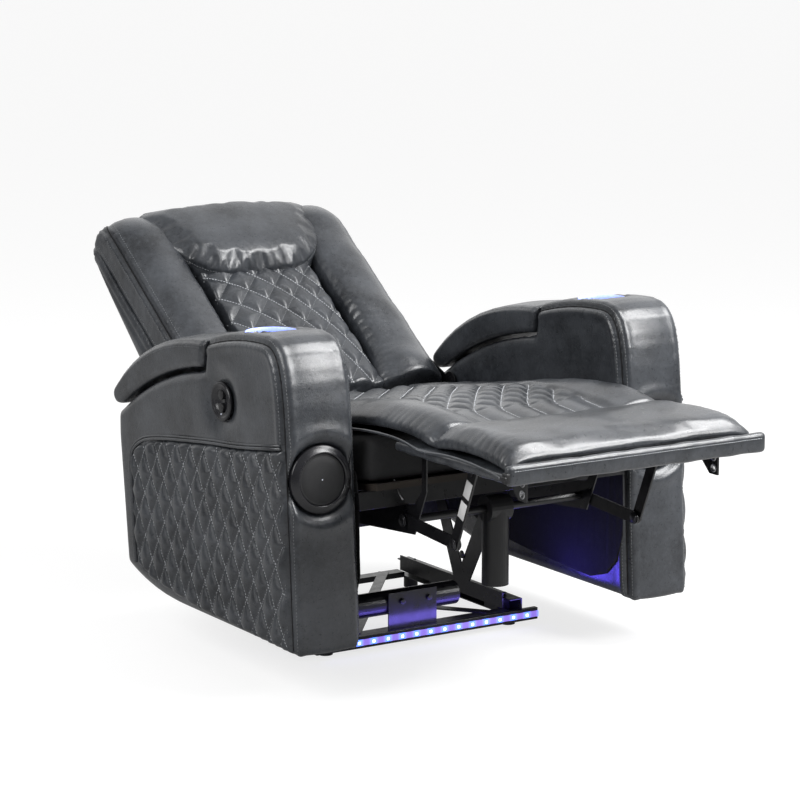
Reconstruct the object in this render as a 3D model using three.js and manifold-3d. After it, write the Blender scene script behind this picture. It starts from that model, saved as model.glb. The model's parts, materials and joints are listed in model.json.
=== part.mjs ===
// Power recliner with storage arms, reclined with its footrest out.
// Millimetres, +Z up. The sitter faces -Y and the sitter's right arm is at -X.

import * as THREE from "three";
import { mergeVertices } from "three/addons/utils/BufferGeometryUtils.js";
import Module from "manifold-3d";

const wasm = await Module();
wasm.setup();

// Driving dimensions of the whole chair
const chairWidth = 920;
const armWidth = 155;
const armBottom = 98;
const armTop = 671;
const armDepth = 690;
const seatThickness = 129;
const backLength = 592;
const headrestRise = 6;
const backRecline = 35;
const seatTilt = 8.5;
const footrestLength = 368;
const baseLength = 425;

// Clearances
const seatGap = 0.3;
const softGap = 0.6;
const movingGap = 3;
const cushionSideGap = 9;
const footrestSideStep = 11;
const cutOverrun = 4;

// Sewing: how far each pad draws in at its foot, and the diamonds stitched into the quilted ones
const padDrawIn = 4;
const firmEdgeShare = 0.7;
const softEdgeShare = 0.55;
const diamondWidth = 112;
const diamondHeight = 150;
const diamondDepth = 7;

// Arm outline
const armFrontLean = 22;
const armLeanTop = 450;
const armNoseDepth = 110;
const armNotchFront = 320;
const armNotchTop = 640;
const armNotchFoot = 582;
const armNotchSlope = 12;
const armRearTop = 447;
const armRearStraight = 400;
const armRearRake = 30;
const armRearBottom = 139;
const armBottomFlat = 430;
const armRound = 20;
const noseForwardShare = 1.4;
const noseRiseShare = 0.75;
const noseTopShare = 0.4;
const underLidDepthShare = 0.515;
const underLidRiseShare = 0.5235;

// Lid and its hinge
const lidHingeInset = 2;
const lidHingeZ = 480;
const lidNose = 20;
const lidTop = 637;
const lidRound = 9;
const lidFall = 9;
const lidHeelShare = 0.8;
const lidBendShare = 0.554;
const lidPinRadius = 3;
const knuckleRadius = 9;
const knuckleWidth = 46;
const knuckleLeaf = 2.5;
const knuckleLeafDrop = 68;
const knuckleNotch = 30;

// Storage well in each arm
const wellWall = 18;
const wellFront = 350;
const wellLength = 250;
const wellFloor = 300;

// Cup holder and its lit ring
const cupY = 197;
const cupRadius = 45;
const cupWall = 1.6;
const cupDepth = 88;
const cupFlange = 52;
const cupFlangeThick = 3;
const cupSeatDrop = 22;
const ringWidth = 3;
const ringInset = 1;
const ringThick = 2;

// Speaker in the front of each arm
const speakerZ = 417;
const speakerRadius = 64;
const speakerInner = 48;
const speakerPocket = 6;
const speakerProud = 5;
const grilleThick = 4;
const grilleHole = 3;
const grilleRings = 2;
const grilleFirstRing = 15;
const grilleRingPitch = 17;
const grilleHolesPerRing = 6;

// Control panel on the outer face of the sitter's right arm
const panelY = 261;
const panelAboveQuilt = 48;
const panelRadius = 38;
const panelDepth = 8;
const panelBezelThick = 4;
const buttonRadius = 9;
const buttonSpacing = 24;
const buttonLength = 6;
const buttonProud = 2;
const buttonTravel = 1.5;

// Quilted side panel
const quiltThick = 8;
const quiltInset = 12;
const quiltBottom = 112;
const quiltRear = 612;
const quiltRearTop = 362;
const quiltTopMid = 446;
const quiltTopFront = 478;
const quiltBendShare = 0.8;

// Seat
const seatFront = -20;
const seatBackGap = 4;
const seatFrontTop = 531;
const seatCrown = 8;
const deckThick = 12;
const deckInset = 20;
const seatRailWide = 30;
const seatRailTall = 34;

// Back
const backPivotInset = 68;
const backPivotZ = 444;
const backPadThick = 60;
const backBoardThick = 15;
const backCoverThick = 112;
const backCoverTopShare = 0.26;
const backPanelShare = 0.49;
const backPanelProud = 26;
const headrestLength = 250;
const headrestShare = 0.726;
const headrestThick = 122;
const headrestCrown = 32;
const headrestChinShare = 0.5;
const backPadCrown = 14;
const backCoverCrown = 6;
const wingProud = 38;
const wingCrown = 30;
const bracketThick = 3;
const bracketWidth = 40;
const pivotPinRadius = 8;

// Footrest
const footrestRear = -65;
const footrestBoardBottom = 475;
const footrestBoardThick = 22;
const footrestBoardInset = 5;
const footrestPadThick = 44;
const footrestCrown = 10;
const footrestHingeY = -45;
const footrestHingeZ = 462;
const footrestBracketDrop = 22;
const footrestBracketLength = 345;
const eyeletTab = 46;
const eyeletDrop = 44;
const eyeletRadius = 5;
const eyeletSpacing = 21;
const eyeletInset = 12;

// Linkage under the footrest
const linkThick = 4;
const linkWidth = 24;
const linkGap = 1;
const linkPinRadius = 5;
const tubeRadius = 8;
const tubeY = 15;
const tubeZ = 320;
const linkReach = 170;
const linkDrop = 12;

// Base and carriage
const railHeight = 36;
const railWidth = 30;
const railFromArm = 88;
const railWall = 3;
const footRadius = 15;
const footHeight = 22;
const footInset = 30;
const baseFront = 255;
const glideLength = 50;
const glideGap = 0.3;
const glideInset = 40;
const carriageTravel = 90;
const crossTall = 12;
const frontBarRadius = 24;
const frontBarZ = 86;
const frontBarLeft = 82;
const frontBarGap = 12;
const barPlateThick = 3;
const barPlateRight = 89;
const barPlateLeft = 24;
const braceThick = 3;
const braceWidth = 22;
const braceInset = 44;
const plateThick = 3;
const plateNeck = 90;
const plateChin = 14;
const plateNeckFront = 4;
const plateBar = 32;
const legFoot = 60;
const legFootFront = 140;
const windowSill = 30;
const windowHead = 28;
const windowFrontInset = 365;
const windowRearInset = 42;
const lampBarHeight = 24;
const lampBarDepth = 12;
const lampBarReach = 45;
const lampBarBottom = 13;
const lampStripHeight = 12;
const lampStripThick = 3;
const apronRear = 42;
const apronThick = 14;
const apronBottom = 150;
const apronTop = 330;
const motorRadius = 26;
const motorLength = 150;

// Derived places
const armInner = chairWidth / 2 - armWidth;
const armCentre = chairWidth / 2 - armWidth / 2;
const seatWidth = 2 * (armInner - cushionSideGap);
const backWidth = seatWidth;
const backPanelWidth = backPanelShare * backWidth;
const headrestWidth = headrestShare * backWidth;
const footrestWidth = seatWidth - 2 * footrestSideStep;
const lidHingeY = armDepth - lidHingeInset;
const panelZ = quiltTopMid + panelRadius + panelAboveQuilt;
const railX = armInner - railFromArm;
const lampBarLength = 2 * (railX + lampBarReach);
const railTop = footHeight + railHeight;
const plateX = railX - railWidth / 2 - movingGap - plateThick / 2;
const driveX = plateX + plateThick / 2 + linkGap + linkThick / 2;
const supportX = driveX + linkThick + linkGap;
const bracketX = supportX + linkThick + linkGap;
const underLidBend = [
  (armNotchFront + armDepth) * underLidDepthShare, (armNotchFoot + lidHingeZ) * underLidRiseShare,
];
const backPivotY = armDepth - backPivotInset;
const seatRear = backPivotY - seatBackGap;
const shellLength = backLength - headrestRise;
const railUnder = -2 * seatGap - deckThick;
const seatRailRearY = seatRear - seatFront - 3 * deckInset;

const materials = {
  leather: { color: 0x2c3036, roughness: 0.5, metalness: 0 },
  steel: { color: 0x17181a, roughness: 0.45, metalness: 0.6 },
  chrome: { color: 0xb8bcc2, roughness: 0.2, metalness: 1 },
  plastic: { color: 0x111214, roughness: 0.6, metalness: 0 },
  board: { color: 0x8a6f4c, roughness: 0.8, metalness: 0 },
  lamp: { color: 0xc9c4ff, roughness: 0.3, metalness: 0 },
};

// Geometry helpers

function toSolid(geometry) {
  const bare = geometry.clone();
  bare.deleteAttribute("normal");
  bare.deleteAttribute("uv");
  const merged = mergeVertices(bare, 1e-3);
  return new wasm.Manifold(new wasm.Mesh({
    numProp: 3,
    vertProperties: Float32Array.from(merged.attributes.position.array),
    triVerts: Uint32Array.from(merged.index.array),
  }));
}

function toGeometry(solid) {
  const mesh = solid.getMesh();
  const geometry = new THREE.BufferGeometry();
  geometry.setAttribute("position", new THREE.BufferAttribute(mesh.vertProperties, 3));
  geometry.setIndex(new THREE.BufferAttribute(mesh.triVerts, 1));
  geometry.computeVertexNormals();
  return geometry;
}

function cut(geometry, ...tools) {
  return toGeometry(tools.reduce((solid, tool) => solid.subtract(toSolid(tool)), toSolid(geometry)));
}

function join(first, ...others) {
  return toGeometry(others.reduce((solid, other) => solid.add(toSolid(other)), toSolid(first)));
}

// An outline drawn in (Y, Z) and extruded along X, centred on x.
function sidePrism(shape, width, x, round = 0) {
  const options = { depth: width - 2 * round, curveSegments: 8, bevelEnabled: round > 0 };
  if (round > 0) {
    Object.assign(options, {
      bevelSize: round, bevelThickness: round, bevelOffset: -round, bevelSegments: 2,
    });
  }
  const geometry = new THREE.ExtrudeGeometry(shape, options);
  geometry.translate(0, 0, -options.depth / 2);
  const basis = new THREE.Matrix4().makeBasis(
    new THREE.Vector3(0, 1, 0), new THREE.Vector3(0, 0, 1), new THREE.Vector3(1, 0, 0));
  geometry.applyMatrix4(basis);
  return geometry.translate(x, 0, 0);
}

function box(low, high) {
  const size = high.map((value, i) => value - low[i]);
  const geometry = new THREE.BoxGeometry(...size);
  return geometry.translate(...low.map((value, i) => value + size[i] / 2));
}

function cylinderX(radius, length, x, y, z, sides = 24) {
  return new THREE.CylinderGeometry(radius, radius, length, sides).rotateZ(Math.PI / 2).translate(x, y, z);
}

function cylinderZ(radius, bottom, top, x, y, sides = 32) {
  return new THREE.CylinderGeometry(radius, radius, top - bottom, sides)
    .rotateX(Math.PI / 2).translate(x, y, (bottom + top) / 2);
}

// A pad lying on z = 0: crowned, rounded at its edges, drawn in at its foot, with sewn grooves.
// chinShare narrows its low end and highEndShare is how much of its thickness is left at the high end.
function pad({ width, length, thick, crown, edgeShare, drawIn, across, along, groove,
  chinShare = 0, highEndShare = 1 }) {
  const power = 5;
  const cornerShare = 0.03;
  const fall = (t) => Math.pow(Math.max(0, 1 - Math.pow(Math.abs(t), power)), 1 / power);
  const spread = (i, n) => Math.sin((i / n - 0.5) * Math.PI);
  const positions = [];
  const index = [];
  const stride = along + 1;
  for (let i = 0; i <= across; i++) {
    for (let j = 0; j <= along; j++) {
      const s = spread(i, across);
      const t = spread(j, along);
      const chin = 1 - chinShare * Math.pow(Math.max(0, -t), 3);
      const wedge = 1 - (1 - highEndShare) * (1 + t) / 2;
      const x = s * chin * (1 - cornerShare * Math.pow(Math.abs(t), 8)) * width / 2;
      const y = t * (1 - cornerShare * Math.pow(Math.abs(s), 8)) * length / 2;
      const body = edgeShare + (1 - edgeShare) * fall(s) * fall(t);
      const rise = crown * (1 - s * s) * (1 - t * t);
      const sewn = groove ? groove(x, y) * fall(s) * fall(t) : 0;
      positions.push(x, y, (thick - crown) * body * wedge + rise - sewn);
    }
  }
  for (let i = 0; i < across; i++) {
    for (let j = 0; j < along; j++) {
      const a = i * stride + j;
      const b = a + stride;
      index.push(a, b, b + 1, a, b + 1, a + 1);
    }
  }
  const rim = [];
  for (let i = 0; i < across; i++) rim.push(i * stride);
  for (let j = 0; j < along; j++) rim.push(across * stride + j);
  for (let i = across; i > 0; i--) rim.push(i * stride + along);
  for (let j = along; j > 0; j--) rim.push(j);
  const foot = positions.length / 3;
  for (const top of rim) {
    const x = positions[3 * top];
    const y = positions[3 * top + 1];
    positions.push(x - Math.sign(x) * drawIn, y - Math.sign(y) * drawIn, 0);
  }
  const centre = positions.length / 3;
  positions.push(0, 0, 0);
  for (let k = 0; k < rim.length; k++) {
    const next = (k + 1) % rim.length;
    index.push(rim[k], foot + k, foot + next, rim[k], foot + next, rim[next]);
    index.push(centre, foot + next, foot + k);
  }
  const geometry = new THREE.BufferGeometry();
  geometry.setAttribute("position", new THREE.Float32BufferAttribute(positions, 3));
  geometry.setIndex(index);
  geometry.computeVertexNormals();
  return geometry;
}

// Depth of diamond stitching at a point.
function diamonds(pitchX, pitchY, depth) {
  return (x, y) => {
    const a = Math.abs(Math.sin(Math.PI * (x / pitchX + y / pitchY)));
    const b = Math.abs(Math.sin(Math.PI * (x / pitchX - y / pitchY)));
    return depth * (1 - Math.min(1, 2 * Math.min(a, b)));
  };
}

const chair = new THREE.Group();

function add(name, geometry, look, parent = chair) {
  const mesh = new THREE.Mesh(geometry, new THREE.MeshStandardMaterial(materials[look]));
  mesh.name = name;
  parent.add(mesh);
  return mesh;
}

const sides = [["right", -1], ["left", 1]];

// Arms, their panels and what is set into them

function armShape() {
  const shape = new THREE.Shape();
  shape.moveTo(0, armBottom);
  shape.lineTo(armFrontLean, armLeanTop);
  const noseRise = armTop - armLeanTop;
  shape.bezierCurveTo(armFrontLean * noseForwardShare, armLeanTop + noseRise * noseRiseShare,
    armNoseDepth * noseTopShare, armTop, armNoseDepth, armTop);
  shape.quadraticCurveTo((armNoseDepth + armNotchFront) / 2, armTop, armNotchFront, armNotchTop);
  shape.lineTo(armNotchFront + armNotchSlope, armNotchFoot);
  shape.quadraticCurveTo(...underLidBend,
    lidHingeY - lidNose, lidHingeZ - lidNose);
  shape.lineTo(armDepth, armRearTop);
  shape.lineTo(armDepth, armRearStraight);
  shape.lineTo(armDepth - armRearRake, armRearBottom);
  shape.quadraticCurveTo((armDepth + armBottomFlat) / 2, armBottom, armBottomFlat, armBottom);
  shape.closePath();
  return shape;
}

function quiltShape(grow) {
  const shape = new THREE.Shape();
  const front = quiltInset + armRound - grow;
  const rear = quiltRear + grow;
  shape.moveTo(front, quiltBottom - grow);
  shape.lineTo(rear - armRearRake, quiltBottom + armRearRake - grow);
  shape.lineTo(rear, quiltRearTop + grow);
  shape.quadraticCurveTo(rear * quiltBendShare, quiltTopMid + grow, rear / 2, quiltTopMid + grow);
  shape.lineTo(front, quiltTopFront + grow);
  shape.closePath();
  return shape;
}

const leanAngle = Math.atan2(armFrontLean, armLeanTop - armBottom);
const speakerY = armFrontLean * (speakerZ - armBottom) / (armLeanTop - armBottom);

// A round piece whose axis is square to the leaning front of the arm; depth runs into the arm.
function onArmFront(radius, from, to, x, sideCount = 28) {
  return new THREE.CylinderGeometry(radius, radius, to - from, sideCount)
    .translate(0, (from + to) / 2, 0)
    .rotateX(-leanAngle)
    .translate(x, speakerY, speakerZ);
}

function lidShape() {
  const shape = new THREE.Shape();
  const frontTop = armNotchFront + 1.5 * movingGap;
  const frontFoot = frontTop + armNotchSlope;
  shape.moveTo(frontFoot, armNotchFoot + movingGap);
  shape.quadraticCurveTo(underLidBend[0], underLidBend[1] + movingGap,
    lidHingeY - lidNose * lidHeelShare, lidHingeZ - lidNose + movingGap);
  shape.absarc(lidHingeY, lidHingeZ, lidNose, -Math.PI / 2, Math.PI / 4, false);
  shape.quadraticCurveTo((armNotchFront + armDepth) * lidBendShare, lidTop - lidFall, frontTop, lidTop);
  shape.closePath();
  return shape;
}

function cupGeometry(x) {
  const top = armTop - cupSeatDrop + cupFlangeThick;
  const outer = cupRadius - seatGap;
  const profile = [
    [0, 0], [outer, 0], [outer, cupDepth - cupFlangeThick], [cupFlange, cupDepth - cupFlangeThick],
    [cupFlange, cupDepth], [outer - cupWall, cupDepth], [outer - cupWall, cupWall], [0, cupWall],
  ].map(([r, z]) => new THREE.Vector2(r, z));
  return new THREE.LatheGeometry(profile, 28).rotateX(Math.PI / 2)
    .translate(x, cupY, top - cupDepth + seatGap);
}

for (const [side, sign] of sides) {
  const x = sign * armCentre;
  const outer = sign * chairWidth / 2;
  const cupTop = armTop - cupSeatDrop;
  const quiltX = outer - sign * quiltThick / 2;
  const wellWide = armWidth - 2 * wellWall;
  const cuts = [
    box([x - wellWide / 2, wellFront, wellFloor], [x + wellWide / 2, wellFront + wellLength, armTop]),
    cylinderZ(cupRadius, cupTop - cupDepth + cupFlangeThick - seatGap, armTop + cutOverrun, x, cupY, 28),
    cylinderZ(cupFlange + softGap, cupTop, armTop + cutOverrun, x, cupY, 28),
    cylinderX(lidNose + movingGap, armWidth + cutOverrun, x, lidHingeY, lidHingeZ, 32),
    sidePrism(quiltShape(seatGap), quiltThick + cutOverrun, quiltX + sign * cutOverrun / 2),
    onArmFront(speakerRadius + seatGap, -cutOverrun * 2, speakerPocket + seatGap, x),
  ];
  if (side === "right") {
    cuts.push(cylinderX(panelRadius + seatGap, 2 * panelDepth, outer, panelY, panelZ, 40));
  }
  add(`arm_${side}`, cut(sidePrism(armShape(), armWidth, x, armRound), ...cuts), "leather");
  add(`arm_panel_${side}`, sidePrism(quiltShape(0), quiltThick - seatGap,
    quiltX + sign * seatGap / 2), "leather");

  add(`cup_holder_${side}`, cupGeometry(x), "chrome");
  const ringOuter = cupFlange - ringInset;
  const ringInner = ringOuter - ringWidth;
  const ringBottom = cupTop + cupFlangeThick + 2 * seatGap;
  add(`lit_ring_${side}`, cut(
    cylinderZ(ringOuter, ringBottom, ringBottom + ringThick, x, cupY, 28),
    cylinderZ(ringInner, ringBottom - cutOverrun, ringBottom + cutOverrun, x, cupY, 28)), "lamp");

  add(`speaker_ring_${side}`, cut(onArmFront(speakerRadius, -speakerProud, speakerPocket, x),
    onArmFront(speakerInner, -speakerProud - cutOverrun, speakerPocket + cutOverrun, x)), "plastic");
  const holes = [];
  for (let ring = 0; ring < grilleRings; ring++) {
    const count = grilleHolesPerRing * (ring + 1);
    const radius = grilleFirstRing + ring * grilleRingPitch;
    for (let k = 0; k < count; k++) {
      const angle = (2 * Math.PI * k) / count;
      holes.push(new THREE.CylinderGeometry(grilleHole, grilleHole, speakerPocket * 4, 6)
        .translate(radius * Math.cos(angle), 0, radius * Math.sin(angle))
        .rotateX(-leanAngle).translate(x, speakerY, speakerZ));
    }
  }
  add(`speaker_grille_${side}`, cut(onArmFront(speakerInner - seatGap,
    speakerPocket - grilleThick, speakerPocket, x), ...holes), "plastic");

  const notch = box(
    [x - knuckleWidth / 2 - movingGap, lidHingeY - knuckleNotch, lidHingeZ - 2 * lidNose],
    [x + knuckleWidth / 2 + movingGap, lidHingeY + 2 * lidNose, lidHingeZ + 2 * lidNose + lidNose]);
  const pinBore = cylinderX(lidPinRadius + seatGap, armWidth + cutOverrun, x, lidHingeY, lidHingeZ, 16);
  add(`storage_lid_${side}`, cut(sidePrism(lidShape(), armWidth, x, lidRound), notch, pinBore), "leather");
  const pin = cylinderX(lidPinRadius, armWidth - 2 * lidRound - 2 * cutOverrun, x, lidHingeY, lidHingeZ, 16);
  const leaf = box([x - knuckleWidth / 2, armDepth + seatGap, lidHingeZ - knuckleLeafDrop],
    [x + knuckleWidth / 2, armDepth + seatGap + knuckleLeaf, lidHingeZ]);
  const barrel = cylinderX(knuckleRadius, knuckleWidth, x, lidHingeY, lidHingeZ, 20);
  add(`lid_knuckle_${side}`, join(barrel, leaf, pin), "steel");
}

// Control panel and its two buttons
{
  const face = -chairWidth / 2;
  const bottom = face + panelDepth;
  const bezelX = bottom - seatGap - panelBezelThick / 2;
  const holes = [-1, 1].map((k) => cylinderX(buttonRadius + seatGap, 4 * panelDepth, bezelX,
    panelY, panelZ + k * buttonSpacing / 2, 20));
  add("control_panel", cut(cylinderX(panelRadius, panelBezelThick, bezelX, panelY, panelZ, 40),
    ...holes), "plastic");
  const buttonX = bezelX - panelBezelThick / 2 - buttonProud + buttonLength / 2 - buttonTravel / 2;
  const names = ["button_return", "button_recline"];
  names.forEach((name, k) => add(name, cylinderX(buttonRadius, buttonLength - buttonTravel, buttonX,
    panelY, panelZ + (2 * k - 1) * buttonSpacing / 2, 20), "plastic"));
}

// Seat, in a frame tilted down to the rear
const seat = new THREE.Group();
seat.rotation.x = -THREE.MathUtils.degToRad(seatTilt);
seat.position.set(0, seatFront, seatFrontTop - seatThickness);
chair.add(seat);
{
  const length = seatRear - seatFront;
  const grooves = diamonds(diamondWidth, diamondHeight, diamondDepth);
  const inCentre = (x) => (Math.abs(x) < backPanelWidth / 2 ? 1 : 0);
  const geometry = pad({ width: seatWidth, length, thick: seatThickness, crown: seatCrown,
    edgeShare: firmEdgeShare, drawIn: padDrawIn, across: 24, along: 22,
    groove: (x, y) => grooves(x, y) * inCentre(x) });
  add("seat_cushion", geometry.translate(0, length / 2, 0), "leather", seat);
  add("seat_deck", box([-seatWidth / 2 + deckInset, deckInset, -seatGap - deckThick],
    [seatWidth / 2 - deckInset, length - deckInset, -seatGap]), "board", seat);
  const places = { seat_front_rail: 2 * deckInset + seatRailWide, seat_rear_rail: seatRailRearY };
  for (const [name, y] of Object.entries(places)) {
    add(name, box([-armInner + seatGap, y - seatRailWide, railUnder - seatRailTall],
      [armInner - seatGap, y, railUnder]), "steel", seat);
  }
}

// Back, in a frame along the reclined back: y up the back, z out of its front
const back = new THREE.Group();
back.rotation.x = THREE.MathUtils.degToRad(backRecline);
back.position.set(0, backPivotY, backPivotZ);
chair.add(back);
{
  const wingWidth = (backWidth - backPanelWidth) / 2 - softGap;
  const wingX = backPanelWidth / 2 + softGap + wingWidth / 2;
  const panelLength = backLength - headrestLength - softGap;
  const grooves = diamonds(diamondWidth, diamondHeight, diamondDepth);
  const foot = -backPadThick;
  add("back_cushion", pad({ width: backPanelWidth, length: panelLength,
    thick: backPadThick + backPanelProud, crown: backPadCrown, edgeShare: firmEdgeShare,
    drawIn: padDrawIn, across: 18, along: 22, groove: grooves })
    .translate(0, panelLength / 2, foot), "leather", back);
  const headrest = (grow) => pad({ width: headrestWidth + 2 * grow, length: headrestLength + 2 * grow,
    thick: headrestThick + grow, crown: headrestCrown, edgeShare: softEdgeShare, drawIn: padDrawIn,
    chinShare: headrestChinShare, across: 14, along: 10 })
    .translate(0, backLength - headrestLength / 2, foot);
  add("headrest", headrest(0), "leather", back);
  for (const [side, sign] of sides) {
    const wing = pad({ width: wingWidth, length: shellLength, thick: backPadThick + wingProud,
      crown: wingCrown, edgeShare: softEdgeShare, drawIn: padDrawIn, across: 8, along: 14 })
      .translate(sign * wingX, shellLength / 2, foot);
    add(`back_wing_${side}`, cut(wing, headrest(movingGap)
      .translate(0, 0, -cutOverrun)), "leather", back);
  }
  const boardTop = foot - seatGap;
  const board = (grow) => box(
    [-backWidth / 2 + deckInset - grow, deckInset - grow, boardTop - backBoardThick - grow],
    [backWidth / 2 - deckInset + grow, shellLength - deckInset + grow,
      boardTop + cutOverrun * Math.sign(grow)]);
  add("back_board", board(0), "board", back);
  add("back_cover", cut(pad({ width: backWidth, length: shellLength, thick: backCoverThick,
    crown: backCoverCrown, edgeShare: firmEdgeShare, drawIn: padDrawIn, across: 10, along: 10,
    highEndShare: backCoverTopShare })
    .rotateY(Math.PI).translate(0, shellLength / 2, boardTop), board(seatGap)), "leather", back);
  for (const [side, sign] of sides) {
    const x = sign * (backWidth / 2 + seatGap + bracketThick / 2);
    const shape = new THREE.Shape();
    shape.absarc(0, 0, bracketWidth / 2, 0, Math.PI, false);
    shape.lineTo(-bracketWidth / 2, boardTop - backBoardThick);
    shape.lineTo(backLength / 3, boardTop - backBoardThick);
    shape.lineTo(backLength / 3, boardTop + bracketWidth / 2);
    shape.closePath();
    add(`back_bracket_${side}`, cut(sidePrism(shape, bracketThick, x),
      cylinderX(pivotPinRadius + seatGap, 4 * bracketThick, x, 0, 0)), "steel", back);
  }
}
for (const [side, sign] of sides) {
  const inner = backWidth / 2 + seatGap;
  const length = armInner - inner - seatGap;
  add(`back_pivot_${side}`, cylinderX(pivotPinRadius, length, sign * (inner + length / 2),
    backPivotY, backPivotZ), "steel");
}

// Footrest
const boardTop = footrestBoardBottom + footrestBoardThick;
const footrestFront = footrestRear - footrestLength;
{
  add("footrest_board", box(
    [-footrestWidth / 2 + footrestBoardInset, footrestFront + footrestBoardInset, footrestBoardBottom],
    [footrestWidth / 2 - footrestBoardInset, footrestRear, boardTop]), "leather");
  add("footrest_pad", pad({ width: footrestWidth, length: footrestLength, thick: footrestPadThick,
    crown: footrestCrown, edgeShare: softEdgeShare, drawIn: padDrawIn, across: 18, along: 12 })
    .translate(0, (footrestRear + footrestFront) / 2, boardTop + seatGap), "leather");
}

// Linkage: the footrest turns about its hinge, and the drive links turn with it
const jointQ = [footrestHingeY - linkReach, footrestHingeZ - linkDrop];
const jointK = [tubeY - linkReach, tubeZ - linkDrop];

function strap(from, to, x, thick, bores) {
  const dy = to[0] - from[0];
  const dz = to[1] - from[1];
  const angle = Math.atan2(dz, dy);
  const shape = new THREE.Shape();
  shape.absarc(to[0], to[1], linkWidth / 2, angle - Math.PI / 2, angle + Math.PI / 2, false);
  shape.absarc(from[0], from[1], linkWidth / 2, angle + Math.PI / 2, angle + 1.5 * Math.PI, false);
  shape.closePath();
  const holes = bores.map(([[y, z], radius]) => cylinderX(radius, 4 * thick, x, y, z));
  return cut(sidePrism(shape, thick, x), ...holes);
}

for (const [side, sign] of sides) {
  add(`drive_link_${side}`, join(
    strap([tubeY, tubeZ], jointK, sign * driveX, linkThick, [[[tubeY, tubeZ], tubeRadius + seatGap]]),
    cylinderX(linkPinRadius, linkThick + linkGap + linkThick, sign * (driveX + supportX) / 2, ...jointK)),
  "steel");
  add(`support_link_${side}`, strap(jointK, jointQ, sign * supportX, linkThick, [
    [jointK, linkPinRadius + linkGap / 2], [jointQ, linkPinRadius + seatGap]]), "steel");
  const bracket = new THREE.Shape();
  const top = footrestBoardBottom - seatGap;
  bracket.moveTo(footrestHingeY + linkWidth / 2, top);
  const end = footrestHingeY - footrestBracketLength;
  const eyeletZ = top - eyeletDrop + eyeletInset;
  bracket.lineTo(end, top);
  bracket.lineTo(end, top - eyeletDrop);
  bracket.lineTo(end + eyeletTab / 2, top - eyeletDrop);
  bracket.lineTo(end + eyeletTab, top - footrestBracketDrop);
  bracket.lineTo(footrestHingeY + linkWidth / 2, top - footrestBracketDrop);
  bracket.closePath();
  add(`footrest_bracket_${side}`, join(
    cut(sidePrism(bracket, linkThick, sign * bracketX),
      cylinderX(linkPinRadius + seatGap, 4 * linkThick, sign * bracketX, footrestHingeY, footrestHingeZ),
      cylinderX(eyeletRadius, 4 * linkThick, sign * bracketX, end + eyeletInset, eyeletZ),
      cylinderX(eyeletRadius, 4 * linkThick, sign * bracketX, end + eyeletInset, eyeletZ + eyeletSpacing)),
    cylinderX(linkPinRadius, linkThick + linkGap + linkThick,
      sign * (supportX + bracketX) / 2, ...jointQ)), "steel");
}
{
  const length = 2 * (driveX + linkThick / 2);
  add("torque_tube", cylinderX(tubeRadius, length, 0, tubeY, tubeZ), "steel");
}

// A place in the tilted seat's frame, as (y, z) of the chair.
function fromSeat(y, z) {
  const tilt = THREE.MathUtils.degToRad(seatTilt);
  return [
    seatFront + y * Math.cos(tilt) + z * Math.sin(tilt),
    seatFrontTop - seatThickness - y * Math.sin(tilt) + z * Math.cos(tilt),
  ];
}

// Carriage side plates: they stand on the glide blocks, carry the seat rails and reach out to the footrest
for (const [side, sign] of sides) {
  const x = sign * plateX;
  const low = footHeight + crossTall + movingGap;
  const noseY = footrestHingeY + linkWidth / 2;
  const noseTop = footrestHingeZ + linkWidth / 2;
  const plateFront = baseFront + glideInset / 2;
  const plateRear = baseFront + baseLength - glideInset / 2;
  const railFoot = railUnder - seatRailTall - seatGap;
  const shape = new THREE.Shape();
  shape.moveTo(plateFront, low);
  shape.lineTo(plateRear, low);
  shape.lineTo(plateRear, low + plateBar);
  shape.lineTo(baseFront + legFootFront + legFoot, low + plateBar);
  shape.lineTo(...fromSeat(seatRailRearY, railFoot));
  shape.lineTo(...fromSeat(deckInset, railFoot));
  shape.lineTo(noseY, noseTop - plateNeck);
  shape.lineTo(noseY, noseTop);
  shape.lineTo(noseY - linkWidth, noseTop);
  shape.lineTo(noseY - linkWidth, footrestHingeZ - plateChin);
  shape.lineTo(footrestHingeY - plateNeckFront, footrestHingeZ - plateChin);
  shape.lineTo(footrestHingeY - plateNeckFront, noseTop - plateNeck);
  shape.lineTo(tubeY - linkWidth, tubeZ - linkWidth);
  shape.lineTo(plateFront, tubeZ - 2 * linkWidth);
  shape.lineTo(baseFront + legFootFront, low + plateBar);
  shape.lineTo(plateFront, low + plateBar);
  shape.closePath();
  const window = new THREE.Shape();
  window.moveTo(baseFront + legFootFront + legFoot / 2, low + plateBar + windowSill);
  window.lineTo(...fromSeat(seatRailRearY - windowRearInset, railFoot - windowHead));
  window.lineTo(...fromSeat(windowFrontInset, railFoot - windowHead));
  window.closePath();
  const pinLength = plateThick + bracketX + linkThick / 2 - plateX - plateThick / 2;
  add(`side_plate_${side}`, join(
    cut(sidePrism(shape, plateThick, x), sidePrism(window, 4 * plateThick, x),
      cylinderX(tubeRadius + seatGap, 4 * plateThick, x, tubeY, tubeZ)),
    cylinderX(linkPinRadius, pinLength, sign * (plateX - plateThick / 2 + pinLength / 2),
      footrestHingeY, footrestHingeZ)), "steel");
}
{
  const rear = armDepth - apronRear;
  const reach = armInner - seatGap;
  add("rear_apron", box([-reach, rear - apronThick, apronBottom], [reach, rear, apronTop]), "leather");
}
add("gear_motor", cut(join(
  cylinderX(motorRadius, motorLength / 3, 0, tubeY, tubeZ),
  cylinderZ(motorRadius, tubeZ - motorLength, tubeZ, 0, tubeY)),
cylinderX(tubeRadius + seatGap, motorLength, 0, tubeY, tubeZ)), "plastic");

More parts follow.
